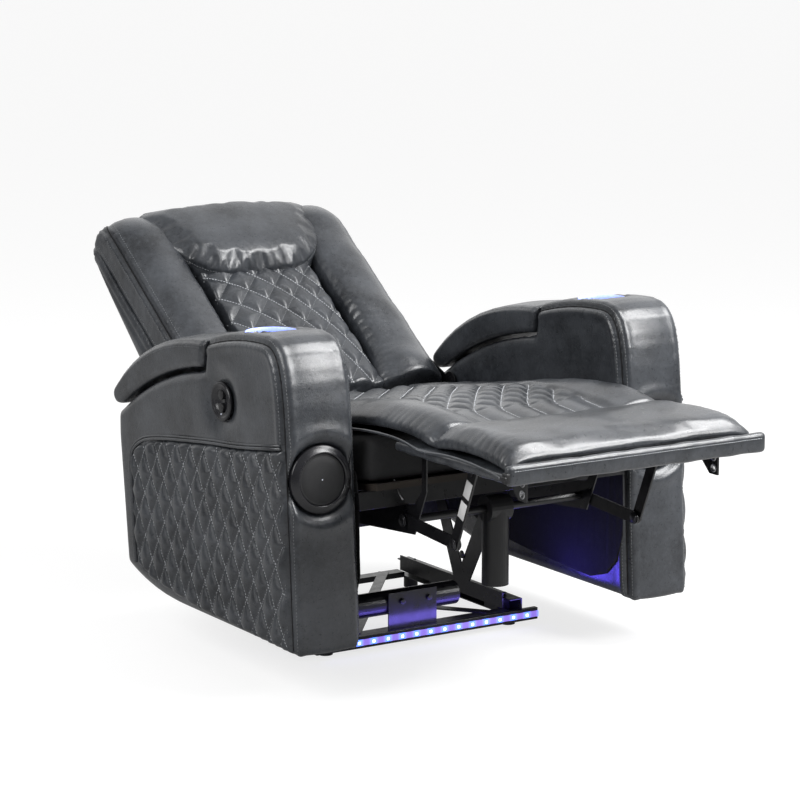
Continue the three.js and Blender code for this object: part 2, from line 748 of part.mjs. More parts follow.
// Base: open channels along Y with the carriage's glide blocks inside
for (const [side, sign] of sides) {
  const outer = sign * (railX + railWidth / 2);
  const inner = sign * (railX - railWidth / 2);
  const rear = baseFront + baseLength;
  const low = (a, b) => Math.min(a, b);
  const high = (a, b) => Math.max(a, b);
  const channelFrom = outer - sign * railWall;
  const channelTo = inner - sign * cutOverrun;
  add(`base_rail_${side}`, cut(
    box([low(outer, inner), baseFront, footHeight + seatGap], [high(outer, inner), rear, railTop]),
    box([low(channelFrom, channelTo), baseFront - cutOverrun, footHeight + railWall],
      [high(channelFrom, channelTo), rear + cutOverrun, railTop - railWall])), "steel");
  const blockFrom = channelFrom - sign * glideGap;
  const blockTo = sign * (plateX + plateThick / 2 + seatGap);
  const spots = { front: baseFront + glideInset, rear: rear - glideInset - glideLength - carriageTravel };
  for (const [end, y] of Object.entries(spots)) {
    add(`glide_${end}_${side}`, box(
      [low(blockFrom, blockTo), y, footHeight + railWall + glideGap],
      [high(blockFrom, blockTo), y + glideLength, railTop - railWall - glideGap]), "plastic");
    const footY = end === "front" ? baseFront + footInset : rear - footInset;
    add(`foot_${end}_${side}`, cylinderZ(footRadius, 0, footHeight, sign * railX, footY, 24), "plastic");
  }
}
const crossReach = railX - railWidth / 2 - seatGap;
const crossRails = {
  front_cross_rail: baseFront,
  rear_cross_rail: baseFront + baseLength - railWidth,
};
// The front cross rail carries a bar on an upright plate, and two braces that cross and lie on the rear one
const barY = baseFront + barPlateThick + frontBarRadius;
const barRight = crossReach - frontBarGap;
const braceLow = footHeight + crossTall;
const braceRun = baseLength - railWidth;
const frontParts = [
  cylinderX(frontBarRadius, barRight + frontBarLeft, (frontBarLeft - barRight) / 2, barY, frontBarZ),
  box([-barPlateRight, baseFront, footHeight],
    [barPlateLeft, baseFront + barPlateThick, frontBarZ + frontBarRadius]),
  box([-barPlateRight, baseFront, frontBarZ - barPlateThick],
    [barPlateLeft, barY, frontBarZ + barPlateThick]),
];
for (const sign of [-1, 1]) {
  const reach = crossReach - braceInset;
  const slant = Math.atan2(2 * reach, braceRun);
  frontParts.push(new THREE.BoxGeometry(braceWidth, Math.hypot(braceRun, 2 * reach), braceThick)
    .rotateZ(sign * slant)
    .translate(0, baseFront + baseLength / 2, braceLow + seatGap + braceThick / 2));
}
// A packing strip under the braces' front ends, so that they lie level on the rear rail
frontParts.push(box([-crossReach, baseFront + braceThick, footHeight + braceThick],
  [crossReach, baseFront + railWidth - braceThick, braceLow + seatGap + braceThick / 2]));
for (const [name, y] of Object.entries(crossRails)) {
  const rail = box([-crossReach, y, footHeight], [crossReach, y + railWidth, braceLow]);
  add(name, name === "front_cross_rail" ? join(rail, ...frontParts) : rail, "steel");
}
{
  const rear = baseFront - seatGap;
  const front = rear - lampBarDepth;
  add("lamp_bar", box([-lampBarLength / 2, front, lampBarBottom],
    [lampBarLength / 2, rear, lampBarBottom + lampBarHeight]), "steel");
  const middle = lampBarBottom + lampBarHeight / 2;
  add("lamp_strip", box([-lampBarLength / 2, front - seatGap - lampStripThick, middle - lampStripHeight / 2],
    [lampBarLength / 2, front - seatGap, middle + lampStripHeight / 2]), "lamp");
}

// The origin is at the middle of the footprint, on the floor
chair.updateMatrixWorld(true);
const bounds = new THREE.Box3().setFromObject(chair, true);
chair.position.set(
  -(bounds.min.x + bounds.max.x) / 2,
  -(bounds.min.y + bounds.max.y) / 2,
  -bounds.min.z);
chair.updateMatrixWorld(true);

export default chair;
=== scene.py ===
"""Looks for a power recliner with storage arms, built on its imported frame.

Everything is in metres in the frame of the part: +Z up, the sitter faces -Y, and the
sitter's right arm, with the control panel, is at -X. The chair is shown reclined.
"""

import json
import logging
import math
from dataclasses import dataclass, field
from enum import Enum
from typing import Callable, Iterable, Sequence

import bmesh
import bpy
import numpy as np
from mathutils import Matrix, Vector
from mathutils.bvhtree import BVHTree

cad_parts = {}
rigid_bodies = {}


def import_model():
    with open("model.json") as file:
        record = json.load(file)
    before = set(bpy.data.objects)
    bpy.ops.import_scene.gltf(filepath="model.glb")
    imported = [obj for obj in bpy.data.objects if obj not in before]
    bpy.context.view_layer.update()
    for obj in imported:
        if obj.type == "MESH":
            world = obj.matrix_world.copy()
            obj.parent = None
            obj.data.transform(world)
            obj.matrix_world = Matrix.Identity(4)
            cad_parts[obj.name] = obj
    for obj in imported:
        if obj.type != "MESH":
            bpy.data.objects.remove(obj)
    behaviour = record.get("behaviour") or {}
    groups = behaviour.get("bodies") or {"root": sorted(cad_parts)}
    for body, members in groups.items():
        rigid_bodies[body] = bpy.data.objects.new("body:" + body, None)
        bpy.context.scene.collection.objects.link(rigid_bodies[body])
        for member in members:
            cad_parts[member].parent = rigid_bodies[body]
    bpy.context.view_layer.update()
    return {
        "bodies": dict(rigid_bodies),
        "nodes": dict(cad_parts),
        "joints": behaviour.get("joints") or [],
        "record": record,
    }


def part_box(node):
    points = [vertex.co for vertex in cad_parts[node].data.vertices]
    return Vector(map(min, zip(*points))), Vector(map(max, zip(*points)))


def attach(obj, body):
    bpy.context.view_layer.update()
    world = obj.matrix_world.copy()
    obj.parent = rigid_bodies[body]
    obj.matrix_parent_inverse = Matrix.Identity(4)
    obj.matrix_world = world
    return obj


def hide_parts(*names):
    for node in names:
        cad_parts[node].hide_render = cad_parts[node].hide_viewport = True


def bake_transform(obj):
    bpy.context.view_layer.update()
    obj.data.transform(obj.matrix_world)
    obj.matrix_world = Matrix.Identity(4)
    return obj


LOG = logging.getLogger("recliner")

Colour = tuple[float, float, float]
Points = np.ndarray
Offsets = Callable[[Points, Points], Points]
Shape = bmesh.types.BMesh
Thing = bpy.types.Object
Socket = bpy.types.NodeSocket
Pair = tuple[float, float]
Knots = tuple[Pair, ...]

# The band in which most of a noise's values lie
NOISE_BAND = (0.3, 0.7)
# The air pressure in a filled pad, and the steps for which its cloth is simulated
AIR_PRESSURE = 4.0
CLOTH_STEPS = 20
# Edges of rigid parts that bend by more degrees than this are broken
SHARP_DEGREES = 30
# The distance between the lit strip's lamps
LAMP_PITCH = 0.0333
# The middle of the dial, from the plane of the arms' front and from the floor
DIAL_Y = 0.261
DIAL_Z = 0.532


class Slot(Enum):
    """The record's material slots that these looks use."""

    LEATHER = "leather"
    STEEL = "steel"
    PLASTIC = "plastic"
    BOARD = "board"
    LAMP = "lamp"


class Side(Enum):
    """The two sides of the chair, as the sitter has them."""

    RIGHT = -1
    LEFT = 1

    @property
    def word(self) -> str:
        """The side's name as it stands in node names."""
        return self.name.lower()


# Finishes


class Canvas:
    """A material and short ways to add nodes to it."""

    def __init__(self, name: str) -> None:
        """Start a material that holds only a Principled shader.

        Args:
            name: The material's name.
        """
        self.material = bpy.data.materials.new(name)
        self.material.use_nodes = True
        self.tree = self.material.node_tree
        self.shader = self.tree.nodes["Principled BSDF"]
        self.place = self.add("ShaderNodeTexCoord").outputs["Object"]

    def add(self, kind: str, **inputs: object) -> bpy.types.Node:
        """Add a node.

        Args:
            kind: The node's type name.
            **inputs: A value or a socket for each named input, with _ for a space.

        Returns:
            The node.
        """
        node = self.tree.nodes.new(kind)
        for key, value in inputs.items():
            self.feed(node.inputs[key.replace("_", " ")], value)
        return node

    def feed(self, socket: Socket, value: object) -> None:
        """Set a socket to a value, or link another socket to it."""
        if isinstance(value, Socket):
            self.tree.links.new(value, socket)
        else:
            socket.default_value = value

    def surface(self, **inputs: object) -> None:
        """Set or link inputs of the shader, with _ for a space."""
        for key, value in inputs.items():
            self.feed(self.shader.inputs[key.replace("_", " ")], value)

    def noise(self, scale: float, detail: float = 4.0, rough: float = 0.55,
              stretch: Sequence[float] = (1, 1, 1)) -> Socket:
        """Noise over Object coordinates.

        Args:
            scale: Waves per metre.
            detail: Octaves.
            rough: How much the fine octaves count.
            stretch: A factor on each axis before the noise.

        Returns:
            The noise's Fac socket.
        """
        mapping = self.add("ShaderNodeMapping", Vector=self.place, Scale=tuple(stretch))
        node = self.add("ShaderNodeTexNoise", Vector=mapping.outputs[0], Scale=scale,
                        Detail=detail, Roughness=rough)
        return node.outputs["Fac"]

    def cells(self, scale: float) -> Socket:
        """Distance to the edge of small cells, for pebbled grain."""
        node = self.add("ShaderNodeTexVoronoi", Vector=self.place, Scale=scale)
        node.feature = "F1"
        return node.outputs["Distance"]

    def remap(self, value: Socket, low: float, high: float, to_low: float, to_high: float) -> Socket:
        """Map a range onto another, clamped.

        Args:
            value: The socket to map.
            low: Where the range starts.
            high: Where it ends.
            to_low: What low becomes.
            to_high: What high becomes.

        Returns:
            The mapped socket.
        """
        node = self.add("ShaderNodeMapRange", Value=value)
        for key, number in zip(("From Min", "From Max", "To Min", "To Max"), (low, high, to_low, to_high)):
            node.inputs[key].default_value = number
        return node.outputs[0]

    def mix(self, share: Socket, first: object, second: object) -> Socket:
        """Mix two colours, each a colour or a socket, by a share."""
        node = self.add("ShaderNodeMix")
        node.data_type = "RGBA"
        self.feed(node.inputs["Factor"], share)
        for socket, value in ((node.inputs[6], first), (node.inputs[7], second)):
            self.feed(socket, value if isinstance(value, Socket) else (*value, 1))
        return node.outputs[2]

    def toned(self, pattern: Socket, band: Pair, most: float, tint: Colour,
              factor: float, lift: float = 0.0) -> Socket:
        """A tint that a pattern takes part of the way to another one.

        Args:
            pattern: The socket of the pattern.
            band: The pattern's values between which the change is made.
            most: The largest share of the other tint.
            tint: The colour to start from.
            factor: What the other tint's channels are, as a multiple.
            lift: What is added to them.

        Returns:
            The colour's socket.
        """
        return self.mix(self.remap(pattern, *band, 0, most), tint, tuple(factor * c + lift for c in tint))

    def maths(self, operation: str, *values: object) -> Socket:
        """The result of a Math node, with a value or a socket for each input."""
        node = self.add("ShaderNodeMath")
        node.operation = operation
        for socket, value in zip(node.inputs, values):
            self.feed(socket, value)
        return node.outputs[0]

    def bump(self, height: Socket, depth: float, under: Socket | None = None) -> Socket:
        """A bump of a real depth over another one."""
        node = self.add("ShaderNodeBump", Height=height, Distance=depth, Strength=1.0)
        if under is not None:
            self.feed(node.inputs["Normal"], under)
        return node.outputs[0]


class Finish:
    """What all finishes share: a canvas of their own name, which each paints in its way."""

    name: str

    def make(self) -> bpy.types.Material:
        """Build the material."""
        canvas = Canvas(self.name)
        self.paint(canvas)
        return canvas.material

    def paint(self, canvas: Canvas) -> None:
        """Paint the finish on its canvas."""
        raise NotImplementedError


@dataclass(frozen=True)
class Leather(Finish):
    """Dark slate leather with a pebbled grain, soft creases and lighter rubbed clouds."""

    name: str = "leather_slate"
    deep: Colour = (0.0130, 0.0148, 0.0180)
    rubbed: Colour = (0.0470, 0.0515, 0.0590)
    roughness: Pair = (0.25, 0.36)
    grain_per_metre: float = 620
    grain_depth: float = 0.00019
    crease_depth: float = 0.0013
    coat: float = 0.38
    slot: Slot = Slot.LEATHER

    def paint(self, canvas: Canvas) -> None:
        """Paint the finish on its canvas."""
        clouds = canvas.noise(8.5, detail=8, rough=0.66)
        flecks = canvas.noise(110.0, detail=6, rough=0.72)
        share = canvas.remap(clouds, 0.36, 0.66, 0.0, 1.0)
        worn = canvas.mix(share, self.deep, self.rubbed)
        fleck_share = canvas.remap(flecks, 0.50, 0.70, 0.0, 0.30)
        canvas.surface(
            Base_Color=canvas.mix(fleck_share, worn, tuple(1.8 * c for c in self.rubbed)),
            Roughness=canvas.remap(flecks, *NOISE_BAND, *self.roughness),
        )
        canvas.surface(Specular_IOR_Level=0.5, Coat_Weight=self.coat, Coat_Roughness=0.22)
        waves = canvas.bump(canvas.noise(15.0, detail=3, rough=0.5), self.crease_depth)
        creases = canvas.bump(canvas.noise(85.0, detail=6, rough=0.74, stretch=(1.0, 1.7, 1.2)),
                              self.crease_depth * 0.42, waves)
        grain = canvas.bump(canvas.cells(self.grain_per_metre), self.grain_depth, creases)
        canvas.surface(Normal=grain)


@dataclass(frozen=True)
class Thread(Finish):
    """Pale sewing thread with a fine twist."""

    name: str = "thread_pale"
    tint: Colour = (0.62, 0.64, 0.67)
    slot: Slot = Slot.LEATHER

    def paint(self, canvas: Canvas) -> None:
        """Paint the finish on its canvas."""
        twist = canvas.noise(1500.0, detail=2)
        shaded = tuple(0.7 * c for c in self.tint)
        canvas.surface(
            Base_Color=canvas.mix(canvas.remap(twist, *NOISE_BAND, 0, 1), shaded, self.tint),
            Roughness=0.7,
            Normal=canvas.bump(twist, 0.0002),
        )


@dataclass(frozen=True)
class DustCloth(Finish):
    """Thin black cloth, pressed from loose fibres, that paints shade: over faces that lie in shade, and as
    dark lines in seams.
    """

    name: str = "cloth_lining"
    tint: Colour = (0.008, 0.008, 0.009)
    slot: Slot = Slot.LEATHER

    def paint(self, canvas: Canvas) -> None:
        """Paint the finish on its canvas."""
        fibres = canvas.noise(900.0, detail=4, rough=0.7, stretch=(1, 0.3, 1))
        lint = canvas.noise(40.0, detail=6, rough=0.7)
        canvas.surface(
            Base_Color=canvas.toned(lint, (0.5, 0.8), 0.6, self.tint, 2.2),
            Roughness=canvas.remap(fibres, *NOISE_BAND, 0.7, 0.95),
            Normal=canvas.bump(fibres, 0.0003, canvas.bump(canvas.noise(9.0, detail=3), 0.004)),
        )


@dataclass(frozen=True)
class PaintedSteel(Finish):
    """Painted or plated steel with an uneven satin film and dusty rubs."""

    name: str = "steel_black"
    tint: Colour = (0.005, 0.005, 0.006)
    roughness: Pair = (0.24, 0.44)
    metal: float = 0.0
    slot: Slot = Slot.STEEL

    def paint(self, canvas: Canvas) -> None:
        """Paint the finish on its canvas."""
        film = canvas.noise(55.0, detail=6, rough=0.65)
        dust = canvas.noise(14.0, detail=5, rough=0.6)
        canvas.surface(
            Base_Color=canvas.toned(dust, (0.5, 0.8), 0.5, self.tint, 2.4, 0.004),
            Roughness=canvas.remap(film, *NOISE_BAND, *self.roughness),
            Normal=canvas.bump(film, 0.00025),
        )
        canvas.surface(Metallic=self.metal, Coat_Weight=0.08, Coat_Roughness=0.2)


@dataclass(frozen=True)
class MouldedPlastic(Finish):
    """Moulded plastic with a spark-eroded texture."""

    name: str = "plastic_black"
    tint: Colour = (0.007, 0.007, 0.008)
    roughness: Pair = (0.36, 0.5)
    slot: Slot = Slot.PLASTIC

    def paint(self, canvas: Canvas) -> None:
        """Paint the finish on its canvas."""
        texture = canvas.noise(1100.0, detail=3, rough=0.6)
        handling = canvas.noise(30.0, detail=4)
        canvas.surface(
            Base_Color=canvas.toned(handling, (0.4, 0.7), 0.4, self.tint, 1.8),
            Roughness=canvas.remap(handling, *NOISE_BAND, *self.roughness),
            Normal=canvas.bump(texture, 0.00012),
        )


@dataclass(frozen=True)
class StainedBoard(Finish):
    """Plywood with long grain, darkened nearly to black as painted shade under the seat and in the back's
    gaps.
    """

    name: str = "board_stained"
    # Both tones are darkened as painted shade.
    pale: Colour = (0.030, 0.022, 0.016)
    dark: Colour = (0.012, 0.009, 0.007)
    slot: Slot = Slot.BOARD

    def paint(self, canvas: Canvas) -> None:
        """Paint the finish on its canvas."""
        grain = canvas.noise(26.0, detail=6, rough=0.6, stretch=(0.12, 1, 1))
        canvas.surface(
            Base_Color=canvas.mix(canvas.remap(grain, 0.35, 0.65, 0, 1), self.pale, self.dark),
            Roughness=0.75,
            Normal=canvas.bump(grain, 0.0004),
        )


@dataclass(frozen=True)
class BareLabel(Finish):
    """A blank white paper label with a fine grain."""

    name: str = "label_white"
    tint: Colour = (0.72, 0.72, 0.72)
    slot: Slot = Slot.STEEL

    def paint(self, canvas: Canvas) -> None:
        """Paint the finish on its canvas."""
        paper = canvas.noise(600.0, detail=4, rough=0.6)
        canvas.surface(
            Base_Color=canvas.toned(paper, NOISE_BAND, 1, self.tint, 0.9),
            Roughness=0.45,
            Normal=canvas.bump(paper, 0.00006),
        )


@dataclass(frozen=True)
class Lit(Finish):
    """A lit lamp or diffuser."""

    name: str
    tint: Colour
    strength: float
    body: Colour = (0.5, 0.5, 0.6)
    slot: Slot = Slot.LAMP

    def paint(self, canvas: Canvas) -> None:
        """Paint the finish on its canvas."""
        milk = canvas.noise(300.0, detail=2)
        canvas.surface(Base_Color=canvas.toned(milk, NOISE_BAND, 1, self.body, 0.8), Roughness=0.35)
        canvas.surface(Emission_Color=(*self.tint, 1), Emission_Strength=self.strength)


@dataclass(frozen=True)
class LitTape(Finish):
    """A violet light tape that glows blue-white round each of its evenly spaced lamps."""

    name: str = "tape_violet"
    violet: Colour = (0.30, 0.20, 0.85)
    near_lamp: Colour = (0.10, 0.22, 1.0)
    strength: Pair = (0.95, 2.4)
    slot: Slot = Slot.LAMP

    def paint(self, canvas: Canvas) -> None:
        """Paint the finish on its canvas."""
        split = canvas.add("ShaderNodeSeparateXYZ", Vector=canvas.place)
        turns = canvas.maths("DIVIDE", split.outputs["X"], LAMP_PITCH)
        far = canvas.remap(canvas.maths("PINGPONG", turns, 0.5), 0.14, 0.34, 0.0, 1.0)
        canvas.surface(
            Base_Color=(0.10, 0.08, 0.25, 1),
            Roughness=0.4,
            Emission_Color=canvas.mix(far, self.near_lamp, self.violet),
            Emission_Strength=canvas.remap(far, 0.0, 1.0, self.strength[1], self.strength[0]),
        )


class Wardrobe:
    """Makes each finish once and hands it out by name."""

    def __init__(self) -> None:
        """Name the chair's finishes."""
        self.finishes = {
            "leather": Leather(),
            "thread": Thread(),
            # A darker copy of the pale thread, used for the seams' stitches and, as painted shade, for the
            # back's rising stitches, which catch less light than the falling ones.
            "thread_dark": Thread(name="thread_dark", tint=(0.22, 0.23, 0.24)),
            # Black cloth for the thin cords of painted shade in the seams.
            "seam": DustCloth(name="seam_shade", tint=(0.006, 0.006, 0.007)),
            # Black cloth laid as painted shade on the arms' inner faces and on the seat's core.
            "shade_lining": DustCloth(),
            "steel": PaintedSteel(),
            "rivet": PaintedSteel(name="rivet_dark", tint=(0.07, 0.07, 0.075), metal=0.9,
                                  roughness=(0.25, 0.4)),
            "zinc": PaintedSteel(name="bolt_zinc", tint=(0.36, 0.36, 0.37), metal=0.95,
                                 roughness=(0.22, 0.38)),
            "label": BareLabel(),
            "plastic": MouldedPlastic(),
            "gloss": MouldedPlastic(name="plastic_gloss", tint=(0.009, 0.009, 0.011),
                                    roughness=(0.17, 0.28)),
            "cloth": MouldedPlastic(name="speaker_cloth", tint=(0.006, 0.006, 0.007),
                                    roughness=(0.55, 0.75)),
            "board": StainedBoard(),
            "lamp": Lit("lamp_blue_white", (0.55, 0.70, 1.0), 6.0),
            "tape": LitTape(),
            "ring": Lit("ring_blue", (0.10, 0.22, 1.0), 1.3),
            "dot": Lit("dot_white", (0.8, 0.9, 1.0), 0.35),
        }
        self.made: dict[str, bpy.types.Material] = {}

    def material(self, name: str) -> bpy.types.Material:
        """Return the named finish's material."""
        if name not in self.made:
            self.made[name] = self.finishes[name].make()
        return self.made[name]

    def slot(self, name: str) -> str:
        """Return the record's slot of the named finish."""
        return self.finishes[name].slot.value


# Making and dressing meshes


class Workshop:
    """Turns bmeshes into finished pieces that ride on the frame's bodies."""

    def __init__(self, wardrobe: Wardrobe) -> None:
        """Keep the wardrobe that pieces are dressed from."""
        self.wardrobe = wardrobe

    def piece(self, name: str, shape: Shape, finish: str, body: str | None,
              replaces: Sequence[str] = (), smooth: bool = True) -> Thing:
        """Make an object of a bmesh, with its finish, its body and the nodes it stands for.

        Args:
            name: The piece's name.
            shape: The bmesh, which is freed.
            finish: The finish's name in the wardrobe.
            body: The body it rides on, or None.
            replaces: The CAD nodes it stands for.
            smooth: Whether its faces are shaded smooth.

        Returns:
            The object.
        """
        thing = object_of(name, shape)
        for polygon in thing.data.polygons:
            polygon.use_smooth = smooth
        thing.data.materials.clear()
        thing.data.materials.append(self.wardrobe.material(finish))
        self.wardrobe.slot(finish)
        if body is not None:
            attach(thing, body)
        if replaces:
            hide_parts(*replaces)
        LOG.info("%s: %d faces on %s", thing.name, len(thing.data.polygons), body)
        return thing

    def carry_over(self, frame: dict, node: str, finish: str) -> None:
        """Give a CAD node that stays a better material."""
        for held in frame["nodes"][node].material_slots:
            held.material = self.wardrobe.material(finish)


def object_of(name: str, shape: Shape) -> Thing:
    """Make a linked object of a bmesh, and free the bmesh."""
    mesh = bpy.data.meshes.new(name)
    shape.to_mesh(mesh)
    shape.free()
    thing = bpy.data.objects.new(name, mesh)
    bpy.context.scene.collection.objects.link(thing)
    return thing


def evaluated(thing: Thing) -> Shape:
    """Return an object's shape after its modifiers, and remove the object."""
    graph = bpy.context.evaluated_depsgraph_get()
    made = bpy.data.meshes.new_from_object(thing.evaluated_get(graph))
    bpy.data.objects.remove(thing)
    shape = bmesh.new()
    shape.from_mesh(made)
    bpy.data.meshes.remove(made)
    return shape


def cad_copy(frame: dict, node: str) -> Shape:
    """Return a welded copy of a CAD node's mesh."""
    shape = bmesh.new()
    shape.from_mesh(frame["nodes"][node].data)
    bmesh.ops.remove_doubles(shape, verts=shape.verts, dist=1e-5)
    return shape


def edged_copy(frame: dict, node: str, edge: float) -> Shape:
    """Return a copy of a rigid CAD node with its sharp edges broken.

    Args:
        frame: The loaded frame.
        node: The node to copy.
        edge: The width of the broken edge, in metres.

    Returns:
        The bmesh.
    """
    shape = cad_copy(frame, node)
    bmesh.ops.dissolve_limit(shape, angle_limit=math.radians(1), verts=shape.verts, edges=shape.edges)
    sharp = [e for e in shape.edges
             if len(e.link_faces) == 2 and e.calc_face_angle(0) > math.radians(SHARP_DEGREES)]
    bmesh.ops.bevel(shape, geom=sharp, offset=edge, segments=2, profile=0.5, affect="EDGES",
                    material=-1, clamp_overlap=True)
    return shape


def block(size: Sequence[float], centre: Sequence[float], edge: float, segments: int,
          turn: Matrix | None = None) -> Shape:
    """Return a box with rounded edges.

    Args:
        size: Its three sides.
        centre: Where its middle is.
        edge: The radius of its edges.
        segments: Faces round an edge.
        turn: A matrix that is applied last.

    Returns:
        The bmesh.
    """
    shape = bmesh.new()
    matrix = Matrix.Translation(centre) @ Matrix.Diagonal((*size, 1))
    bmesh.ops.create_cube(shape, size=1, matrix=matrix)
    bmesh.ops.bevel(shape, geom=shape.edges[:], offset=edge, segments=segments, profile=0.5,
                    affect="EDGES", material=-1, clamp_overlap=True)
    if turn is not None:
        bmesh.ops.transform(shape, matrix=turn, verts=shape.verts)
    return shape


def cut_long_edges(shape: Shape, cuts: int) -> Shape:
    """Cut a block's edges that are over 0.2 m long a number of times, and return the block."""
    edges = [e for e in shape.edges if e.calc_length() > 0.2]
    bmesh.ops.subdivide_edges(shape, edges=edges, cuts=cuts, use_grid_fill=True)
    return shape


def disc(radius: float, thick: float, edge: float, matrix: Matrix, sides: int) -> Shape:
    """Return a round plate along Z with broken edges, placed by a matrix."""
    shape = bmesh.new()
    bmesh.ops.create_cone(shape, cap_ends=True, segments=sides, radius1=radius, radius2=radius, depth=thick)
    rims = [e for e in shape.edges if len(e.link_faces) == 2 and e.calc_face_angle(0) > 1.0]
    bmesh.ops.bevel(shape, geom=rims, offset=edge, segments=2, profile=0.5, affect="EDGES", material=-1)
    bmesh.ops.transform(shape, matrix=matrix, verts=shape.verts)
    return shape


def lathe(profile: Sequence[Pair], matrix: Matrix, steps: int) -> Shape:
    """Spin a closed or axis-to-axis profile of (radius, height) round Z, then place it."""
    shape = bmesh.new()
    verts = [shape.verts.new((r, 0, h)) for r, h in profile]
    pairs = list(zip(verts, verts[1:]))
    if profile[0][0] > 1e-6 or profile[-1][0] > 1e-6:
        pairs.append((verts[-1], verts[0]))
    edges = [shape.edges.new(pair) for pair in pairs]
    bmesh.ops.spin(shape, geom=verts + edges, cent=(0, 0, 0), axis=(0, 0, 1), angle=2 * math.pi,
                   steps=steps, use_merge=True)
    bmesh.ops.remove_doubles(shape, verts=shape.verts, dist=1e-6)
    bmesh.ops.transform(shape, matrix=matrix, verts=shape.verts)
    bmesh.ops.recalc_face_normals(shape, faces=shape.faces)
    return shape


def prism(outline: Sequence[Sequence[float]], low: float, high: float, matrix: Matrix) -> Shape:
    """A closed plate with an outline in x and y, between two heights, placed by a matrix."""
    shape = bmesh.new()
    face = shape.faces.new([shape.verts.new((x, y, low)) for x, y in outline])
    grown = bmesh.ops.extrude_face_region(shape, geom=[face])["geom"]
    for vertex in (g for g in grown if isinstance(g, bmesh.types.BMVert)):
        vertex.co.z = high
    bmesh.ops.holes_fill(shape, edges=[e for e in shape.edges if e.is_boundary])
    bmesh.ops.transform(shape, matrix=matrix, verts=shape.verts)
    bmesh.ops.recalc_face_normals(shape, faces=shape.faces)
    return shape


def foot_of(node: str) -> Vector:
    """The middle of the underside of a CAD node's box."""
    low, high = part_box(node)
    return Vector(((low.x + high.x) / 2, (low.y + high.y) / 2, low.z))


def merged(shapes: Iterable[Shape]) -> Shape:
    """Return one bmesh that holds several, and free them."""
    whole = bmesh.new()
    for shape in shapes:
        held = bpy.data.meshes.new("held")
        shape.to_mesh(held)
        shape.free()
        whole.from_mesh(held)
        bpy.data.meshes.remove(held)
    return whole


def softened(shape: Shape, passes: int) -> Shape:
    """Smooth a skin a number of times, and return it."""
    for _ in range(passes):
        bmesh.ops.smooth_vert(shape, verts=shape.verts, factor=0.5, use_axis_x=True, use_axis_y=True,
                              use_axis_z=True)
    return shape


def remeshed(shape: Shape, voxel: float, passes: int) -> Shape:
    """Wrap closed shapes in one even skin and soften it.

    Args:
        shape: A bmesh of one or more closed shapes, which is freed.
        voxel: The size of the skin's faces.
        passes: How often the skin is smoothed.

    Returns:
        The new bmesh.
    """
    thing = object_of("skin", shape)
    mesh = thing.data
    modifier = thing.modifiers.new("skin", "REMESH")
    modifier.mode = "VOXEL"
    modifier.voxel_size = voxel
    skin = evaluated(thing)
    bpy.data.meshes.remove(mesh)
    return softened(skin, passes)


def inflated(shape: Shape, cap: float) -> Shape:
    """Swell a closed skin as filled cloth, with a limit on how far a point moves.

    Args:
        shape: The skin, which is freed.
        cap: The furthest that a point may move.
    """
    rest = np.array([v.co for v in shape.verts])
    thing = object_of("swell", shape)
    mesh = thing.data
    modifier = thing.modifiers.new("swell", "CLOTH")
    cloth = modifier.settings
    cloth.quality = 5
    cloth.mass = 0.3
    cloth.tension_stiffness = 25
    cloth.compression_stiffness = 25
    cloth.shear_stiffness = 10
    cloth.bending_stiffness = 6
    cloth.use_pressure = True
    cloth.uniform_pressure_force = AIR_PRESSURE
    cloth.effector_weights.gravity = 0
    modifier.point_cache.frame_start = 1
    modifier.point_cache.frame_end = CLOTH_STEPS
    for step in range(1, CLOTH_STEPS + 1):
        bpy.context.scene.frame_set(step)
    swollen = evaluated(thing)
    bpy.context.scene.frame_set(1)
    bpy.data.meshes.remove(mesh)

    def limit(points: Points, _: Points) -> Points:
        """Draw back the points that moved further than the cap."""
        shift = points - rest
        length = np.linalg.norm(shift, axis=1, keepdims=True)
        return shift * (np.minimum(1, cap / np.maximum(length, 1e-9)) - 1)

    return pushed(swollen, limit)


def divided(shape: Shape) -> Shape:
    """Split each edge once and soften the result."""
    bmesh.ops.subdivide_edges(shape, edges=shape.edges[:], cuts=1, use_grid_fill=True, smooth=0.0)
    return softened(shape, 1)


def pushed(shape: Shape, rule: Offsets) -> Shape:
    """Move every vertex by what a rule gives for all points and normals.

    Args:
        shape: The bmesh, which is changed.
        rule: Takes an array of points and one of normals, and returns an array of offsets.

    Returns:
        The same bmesh.
    """
    shape.normal_update()
    points = np.array([v.co for v in shape.verts])
    normals = np.array([v.normal for v in shape.verts])
    moved = points + rule(points, normals)
    for vertex, place in zip(shape.verts, moved):
        vertex.co = place
    return shape


def ripple(along: Points, pitch: float, seed: float) -> Points:
    """An uneven wave between about -1 and 1."""
    u = 2 * math.pi * along / pitch
    return (0.5 * np.sin(u + seed) + 0.3 * np.sin(1.73 * u + 2.1 * seed + 1.0)
            + 0.2 * np.sin(0.57 * u + 3.7 * seed + 2.0))


def bell(value: Points, width: float) -> Points:
    """A smooth bump: 1 at zero, and next to nothing beyond twice its width."""
    return np.exp(-(value / width) ** 2)


def fade(value: Points, width: float) -> Points:
    """1 up to zero, and from there a fall over a width."""
    return np.exp(-np.maximum(value, 0) / width)


def smooth_step(value: Points, low: float, high: float) -> Points:
    """A soft step from 0 at low to 1 at high."""
    t = np.clip((value - low) / (high - low), 0, 1)
    return t * t * (3 - 2 * t)


